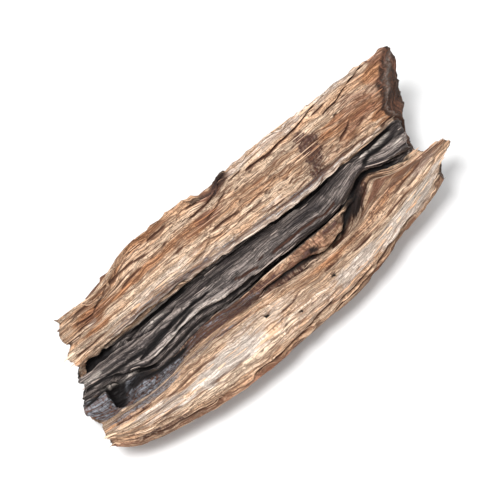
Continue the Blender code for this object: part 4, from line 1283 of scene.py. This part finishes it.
def wood_material(colours, grain_nodes, dash_nodes, holes):
    """Split agarwood: sound wood, and over it bleaching, red-brown wood, stains, weathering, the broken
    ends, the resin and rot, each by its mark; the red brown, the purple-brown stains and the dark broken
    ends are in places painted shade. Then painted shade in the valleys between the fibres, pores, cracks,
    and the black splits, which are partly painted shadow."""
    material, tree, shader = new_material("split_agarwood")
    place = read_mark(tree, "grain_place", "Vector")
    grain = place_group(tree, grain_nodes, {"Place": place, "Line Share": 1.0})
    fraying = calculate(tree, "MULTIPLY_ADD", grain["Fibres"], 1.6, -0.8)
    relief_shading = read_mark(tree, "relief_shading")
    speck = even_noise(tree, place, 1.3, 4.0)
    broken = read_mark(tree, "broken")
    splinters = break_splinters(tree, place)

    def frayed(mark, low, high, most):
        mark = calculate(tree, "ADD", fraying, read_mark(tree, mark))
        return times(tree, rise(tree, mark, low, high), most)

    weathered = blend(tree, rise(tree, grain["Streaks"], 0.38, 0.62), colours.weathered, colours.red)
    # The broken ends' colour, partly painted shade.
    end = blend(tree, rise(tree, splinters, 0.49, 0.68), colours.torn, colours.red)
    rotten = blend(tree, rise(tree, speck, 0.3, 0.58), colours.resin_dark, colours.rot)
    resin = frayed("resin", 0.25, 0.75, 1.0)
    colour = sound_wood(tree, grain, colours)
    for share, over in ((frayed("bleach", 0.2, 0.9, 0.85), colours.bleached),
                        (frayed("red", 0.15, 0.9, 0.9), colours.red),
                        (stain_and_shade_share(tree, fraying, speck), colours.stain_and_shade),
                        (frayed("weather", 0.2, 0.85, 0.9), weathered),
                        (times(tree, broken, 0.95), end),
                        (resin, core_colour(tree, grain, relief_shading, colours)),
                        (frayed("rot", 0.3, 0.7, 1.0), rotten)):
        colour = blend(tree, share, colour, over)
    colour = shaded_wood(tree, colour, place, grain, relief_shading, speck)
    colour = blend(tree, times(tree, read_mark(tree, "pale"), 0.65), colour, colours.bleached)

    clean = calculate(tree, "MULTIPLY_ADD", read_mark(tree, "bleach"), -0.45, 0.85)
    dots = rise(tree, even_noise(tree, place, 1.7, 0.0), 0.64, 0.74, 0.0, 0.7)
    lines = times(tree, calculate(tree, "MAXIMUM", grain["Dark Lines"], dots), clean)
    # Painted shade in the valleys between the fibres, towards the grain colour, and towards the black colour
    # on the resin.
    valley_shade = times(tree, rise(tree, relief_shading, 0.1, 0.9), clean)
    dashes = place_group(tree, dash_nodes, {"Place": place, "Share": 0.5})["Dashes"]
    dashes = times(tree, dashes, times(tree, read_mark(tree, "dashes"), 0.7))
    # Dark grain lines, pores and cracks are the wood's own colour; the black mark is partly black resin and
    # partly painted shadow.
    for first, second, over in ((lines, valley_shade, blend(tree, resin, colours.grain, colours.void)),
                                (dashes, read_mark(tree, "crack"), colours.crack),
                                (read_mark(tree, "void"), pinhole_mask(tree, place, holes), colours.void)):
        colour = blend(tree, calculate(tree, "MAXIMUM", first, second), colour, over)
    feed(tree, shader.inputs["Base Color"], colour)
    feed(tree, shader.inputs["Roughness"], rise(tree, resin, 0.0, 1.0, 0.8, 0.55))
    shader.inputs["Specular IOR Level"].default_value = 0.3

    height = calculate(tree, "SUBTRACT", grain["Height"], times(tree, dashes, 0.8))
    height = calculate(tree, "ADD", height, times(tree, splinters, times(tree, broken, 2.0)))
    add_bump(tree, shader, height, 1.0, 0.6)
    return material


def fibre_material(colours, grain_nodes):
    """Loose slivers: sound wood that takes the marks of where it is rooted, painted shade among them."""
    material, tree, shader = new_material("torn_fibre")
    place = read_mark(tree, "grain_place", "Vector")
    grain = place_group(tree, grain_nodes, {"Place": place, "Line Share": 0.2})
    colour = sound_wood(tree, grain, colours)
    for mark, over, share in (("red", colours.red, 0.7), ("stain_and_shade", colours.stain_and_shade, 0.6),
                              ("weather", colours.weathered, 0.8), ("resin", colours.resin_light, 0.9),
                              ("rot", colours.rot, 0.8), ("crack", colours.crack, 0.5),
                              ("void", colours.crack, 0.6), ("pale", colours.bleached, 0.7)):
        colour = blend(tree, times(tree, read_mark(tree, mark), share), colour, over)
    feed(tree, shader.inputs["Base Color"], colour)
    shader.inputs["Roughness"].default_value = 0.8
    add_bump(tree, shader, grain["Height"], 0.4, 0.2)
    return material


SLIVER_SEED = 5
# Points along each sliver, and the corners of its cross-section in shares of its width and its thickness.
SLIVER_STEPS = 7
SLIVER_CORNERS = ((-0.5, -0.6), (0.5, -0.6), (0.0, 1.0))
# The shortest sliver, against the longest, and the power of a random number that makes most of them short.
SHORTEST_SLIVER = 0.25
SLIVER_POWER = 1.5
# The share of them at the broken ends, how long those are against the others, and the least and the most
# that they reach past the end, in shares of their length.
END_SHARE = 0.1
END_LENGTH = 0.7
PAST_END = (0.1, 0.45)
# In millimetres: the most that a tip lifts at an end and elsewhere, how far a root stands off the wood and a
# sliver off the floor, and the least and the most thickness and width.
END_LIFT, SLIVER_LIFT = 0.1, 0.35
ROOT_LIFT, FLOOR_LIFT = 0.02, 0.02
SLIVER_THICKNESS = (0.1, 0.24)
SLIVER_WIDTH = (0.25, 0.8)
# The share of the slivers that is missing where a mark is full. Above 1, all are missing already where it
# is weaker.
BARE_SHARES = {"resin": 0.7, "rot": 3.0, "void": 3.0}
# Edges sharper than this are shaded as edges.
SHARP_ANGLE = math.radians(42.0)


def random_between(random, limits, count, power=1):
    """Random numbers between two limits. A power above 1 favours the lower one."""
    return limits[0] + (limits[1] - limits[0]) * random.rand(count) ** power


def sliver_blades(path, away, width, thick):
    """Thin three-cornered blades along their paths. The width is w (1 - t) ** 0.6 at a share t of the way,
    rising from the root."""
    t = np.linspace(0, 1, SLIVER_STEPS)
    side = np.cross(away, path[:, -1] - path[:, 0])
    side /= np.linalg.norm(side, axis=1, keepdims=True) + 1e-9
    taper = np.minimum(1, 0.25 + 5 * t) * (1.001 - t) ** 0.6
    aside = side[:, None] * (width[:, None] * taper)[:, :, None]
    above = away[:, None] * (thick[:, None] * taper)[:, :, None]
    blades = np.stack([path + aside * a + above * b for a, b in SLIVER_CORNERS], axis=2)
    blades[:, :, :, 2] = np.maximum(blades[:, :, :, 2], FLOOR_LIFT)
    return blades


def sliver_points(points, normal, marks, straight, form):
    """The points of the slivers, their marks and their places in the straight grain. Each follows the skin
    from its root along a grain line, runs on straight past a broken end, and lifts with the square of the
    way along it."""
    random = np.random.RandomState(SLIVER_SEED)
    count = form.slivers
    ring, columns = points.shape[:2]
    first, last = CAP_ROWS, columns - 1 - CAP_ROWS
    row = random.randint(0, ring, count)
    at_end = random.rand(count) < END_SHARE
    right = random.rand(count) < 0.5
    length = random_between(random, (SHORTEST_SLIVER, 1), count, SLIVER_POWER) * form.sliver_length / MM
    length = np.where(at_end, length * END_LENGTH, length)
    spacing = (points[:, last, 0] - points[:, first, 0])[row] / (last - first)
    steps = length / spacing * np.where(right, 1, -1)
    over = random_between(random, PAST_END, count) * np.abs(steps)
    past_end = np.where(right, last + over, first - over) - steps
    between = first + random.rand(count) * (last - first - np.abs(steps)) + np.where(right, 0, np.abs(steps))
    root = np.where(at_end, past_end, between)
    column = np.clip(np.round(root).astype(int), first, last)
    t = np.linspace(0, 1, SLIVER_STEPS)
    station = root[:, None] + steps[:, None] * t
    inside = np.clip(station, first, last)
    left = np.clip(np.floor(inside).astype(int), first, last - 1)
    part = (inside - left)[:, :, None]
    rows = row[:, None]
    path = points[rows, left] * (1 - part) + points[rows, left + 1] * part
    path[:, :, 0] += (station - inside) * spacing[:, None]
    lift = np.where(at_end, END_LIFT, SLIVER_LIFT) * random.rand(count)
    thick = random_between(random, SLIVER_THICKNESS, count)
    width = random_between(random, SLIVER_WIDTH, count, 2)
    away = normal[row, column]
    path += away[:, None] * (lift[:, None] * t ** 2 + ROOT_LIFT)[:, :, None]
    bare = sum(share * marks[mark][row, column] for mark, share in BARE_SHARES.items())
    keep = random.rand(count) >= bare
    blades = sliver_blades(path[keep], away[keep], width[keep], thick[keep])
    row, column, length = row[keep], column[keep], length[keep]
    taken = {mark: value[row, column] for mark, value in marks.items()}
    rooted = straight[row, column][:, None, None] + np.zeros(blades.shape)
    rooted[:, :, :, 0] += (length[:, None] * t)[:, :, None]
    return blades, taken, rooted


def sliver_mesh(blades, taken, rooted):
    """Joins the slivers: three faces along each step, and a triangle at each end."""
    count, steps, corners = blades.shape[:3]
    index = np.arange(count * steps * corners).reshape(count, steps, corners)
    after = np.roll(index, -1, axis=2)
    sides = np.stack([index[:, :-1], after[:, :-1], after[:, 1:], index[:, 1:]], axis=3).reshape(-1, 4)
    roots, tips = index[:, 0, ::-1], index[:, -1]
    marks = {mark: np.repeat(value, steps * corners) for mark, value in taken.items()}
    faces = sides.tolist() + roots.tolist() + tips.tolist()
    return new_piece("torn_fibres", blades.reshape(-1, 3), faces, marks, rooted.reshape(-1, 3))


def finish_piece(piece, material):
    """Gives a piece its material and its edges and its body."""
    piece.data.materials.append(material)
    piece.data.shade_smooth()
    piece.data.set_sharp_from_angle(angle=SHARP_ANGLE)
    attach(piece, "root")


class AGARWOOD_OT_build_wood(bpy.types.Operator):
    """Build the wood in place of its plain solid"""

    bl_idname = "agarwood.build_wood"
    bl_label = "Build Wood"

    def execute(self, context):
        scene = context.scene
        points, marks, straight, upper = wood_grid(scene.agarwood_form)
        quads, triangles = closed_faces(*points.shape[:2], upper)
        used, packed = np.unique(np.concatenate([quads.ravel(), triangles.ravel()]), return_inverse=True)
        packed = packed.reshape(-1)
        faces = packed[:quads.size].reshape(-1, 4).tolist() + packed[quads.size:].reshape(-1, 3).tolist()
        wood = new_piece("agarwood_wood", points.reshape(-1, 3)[used], faces,
                         {mark: value.ravel()[used] for mark, value in marks.items()},
                         straight.reshape(-1, 3)[used])
        material = wood_material(scene.agarwood_colours, grain_group(), dash_group(), pinhole_places())
        finish_piece(wood, material)
        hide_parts("agarwood_piece")
        return {"FINISHED"}


class AGARWOOD_OT_build_fibres(bpy.types.Operator):
    """Build the loose slivers on the wood and at its broken ends"""

    bl_idname = "agarwood.build_fibres"
    bl_label = "Build Torn Fibres"

    def execute(self, context):
        scene = context.scene
        grain_nodes = bpy.data.node_groups.get("Wood Grain")
        if grain_nodes is None:
            raise RuntimeError("Build the wood before its torn fibres")
        points, marks, straight, _ = wood_grid(scene.agarwood_form)
        fibres = sliver_mesh(*sliver_points(points, outward(points), marks, straight, scene.agarwood_form))
        finish_piece(fibres, fibre_material(scene.agarwood_colours, grain_nodes))
        return {"FINISHED"}


def view_axes(turn, height):
    """The camera's right, up and back, looking down at height with the view turned from the grain."""
    right = Vector((math.cos(turn), -math.sin(turn), 0))
    up = Vector((math.sin(height) * math.sin(turn), math.sin(height) * math.cos(turn), math.cos(height)))
    return right, up, right.cross(up)


# Sizes and distances in metres, directions from the target, and light powers in watts.
FLOOR_SIZE = 6.0
FLOOR_GREY = 0.86
FLOOR_ROUGHNESS = 0.9
TARGET = (0.0078, 0.0097, 0.0)
CLIP_START = 0.01
KEY_TOWARDS = (-0.45, -0.12, 0.88)
KEY_POWER, KEY_SIZE, KEY_DISTANCE = 7.8, 0.24, 0.9
# The fill light stands to the right of the camera and under it, by these shares.
FILL_RIGHT, FILL_DOWN = 0.9, 0.35
FILL_POWER, FILL_SIZE, FILL_DISTANCE = 1.0, 0.8, 1.0


def build_camera(layout, target):
    """The camera, which looks down at the target and becomes the scene's own."""
    axes = view_axes(layout.turn, layout.height)
    camera = add_object("camera", bpy.data.cameras.new("camera"))
    camera.data.lens = camera.data.sensor_width * layout.distance / layout.view_width
    camera.data.clip_start = CLIP_START
    camera.matrix_world = Matrix(axes).transposed().to_4x4()
    camera.location = target + axes[2] * layout.distance
    bpy.context.scene.camera = camera


def build_light(name, towards, distance, size, power, target):
    """A square soft light that looks at the target from a direction."""
    light = add_object(name, bpy.data.lights.new(name, "AREA"))
    light.data.size = size
    light.data.energy = power
    towards = towards.normalized()
    light.location = target + towards * distance
    light.rotation_euler = towards.to_track_quat("Z", "Y").to_euler()


class AGARWOOD_OT_build_studio(bpy.types.Operator):
    """Build the floor, the lights and the camera"""

    bl_idname = "agarwood.build_studio"
    bl_label = "Build Studio"

    def execute(self, context):
        layout = context.scene.agarwood_studio
        target = Vector(TARGET)
        bpy.ops.mesh.primitive_plane_add(size=FLOOR_SIZE)
        floor = context.active_object
        floor.name = "floor"
        material, _, shader = new_material("pale_floor")
        shader.inputs["Base Color"].default_value = (FLOOR_GREY, FLOOR_GREY, FLOOR_GREY, 1)
        shader.inputs["Roughness"].default_value = FLOOR_ROUGHNESS
        floor.data.materials.append(material)
        right, up, back = view_axes(layout.turn, layout.height)
        fill_towards = back + right * FILL_RIGHT - up * FILL_DOWN
        build_light("key_light", Vector(KEY_TOWARDS), KEY_DISTANCE, KEY_SIZE, KEY_POWER * layout.key, target)
        build_light("fill_light", fill_towards, FILL_DISTANCE, FILL_SIZE, FILL_POWER, target)
        world = bpy.data.worlds.new("studio")
        world.use_nodes = True
        background = world.node_tree.nodes["Background"]
        background.inputs["Color"].default_value = (1, 1, 1, 1)
        background.inputs["Strength"].default_value = layout.sky
        context.scene.world = world
        context.scene.view_settings.view_transform = "Standard"
        build_camera(layout, target)
        return {"FINISHED"}


class AGARWOOD_PT_panel(bpy.types.Panel):
    """Sizes, colours and buttons for the piece and its studio"""

    bl_idname = "AGARWOOD_PT_panel"
    bl_label = "Agarwood Piece"
    bl_space_type = "VIEW_3D"
    bl_region_type = "UI"
    bl_category = "Agarwood"

    def draw(self, context):
        for group, operators in (("agarwood_form", ("build_wood", "build_fibres")), ("agarwood_colours", ()),
                                 ("agarwood_studio", ("build_studio",))):
            box = self.layout.box()
            settings = getattr(context.scene, group)
            for name in settings.__annotations__:
                box.prop(settings, name)
            for operator in operators:
                box.operator("agarwood." + operator)


SETTINGS = {"agarwood_form": WoodForm, "agarwood_colours": WoodColours, "agarwood_studio": StudioLayout}
CLASSES = (*SETTINGS.values(), AGARWOOD_OT_build_wood, AGARWOOD_OT_build_fibres, AGARWOOD_OT_build_studio,
           AGARWOOD_PT_panel)


def register():
    for cls in CLASSES:
        bpy.utils.register_class(cls)
    for name, group in SETTINGS.items():
        setattr(bpy.types.Scene, name, PointerProperty(type=group))


def unregister():
    for name in SETTINGS:
        delattr(bpy.types.Scene, name)
    for cls in reversed(CLASSES):
        bpy.utils.unregister_class(cls)


def main():
    register()
    bpy.ops.agarwood.build_studio()
    bpy.ops.agarwood.build_wood()
    bpy.ops.agarwood.build_fibres()


if __name__ == "__main__":
    main()
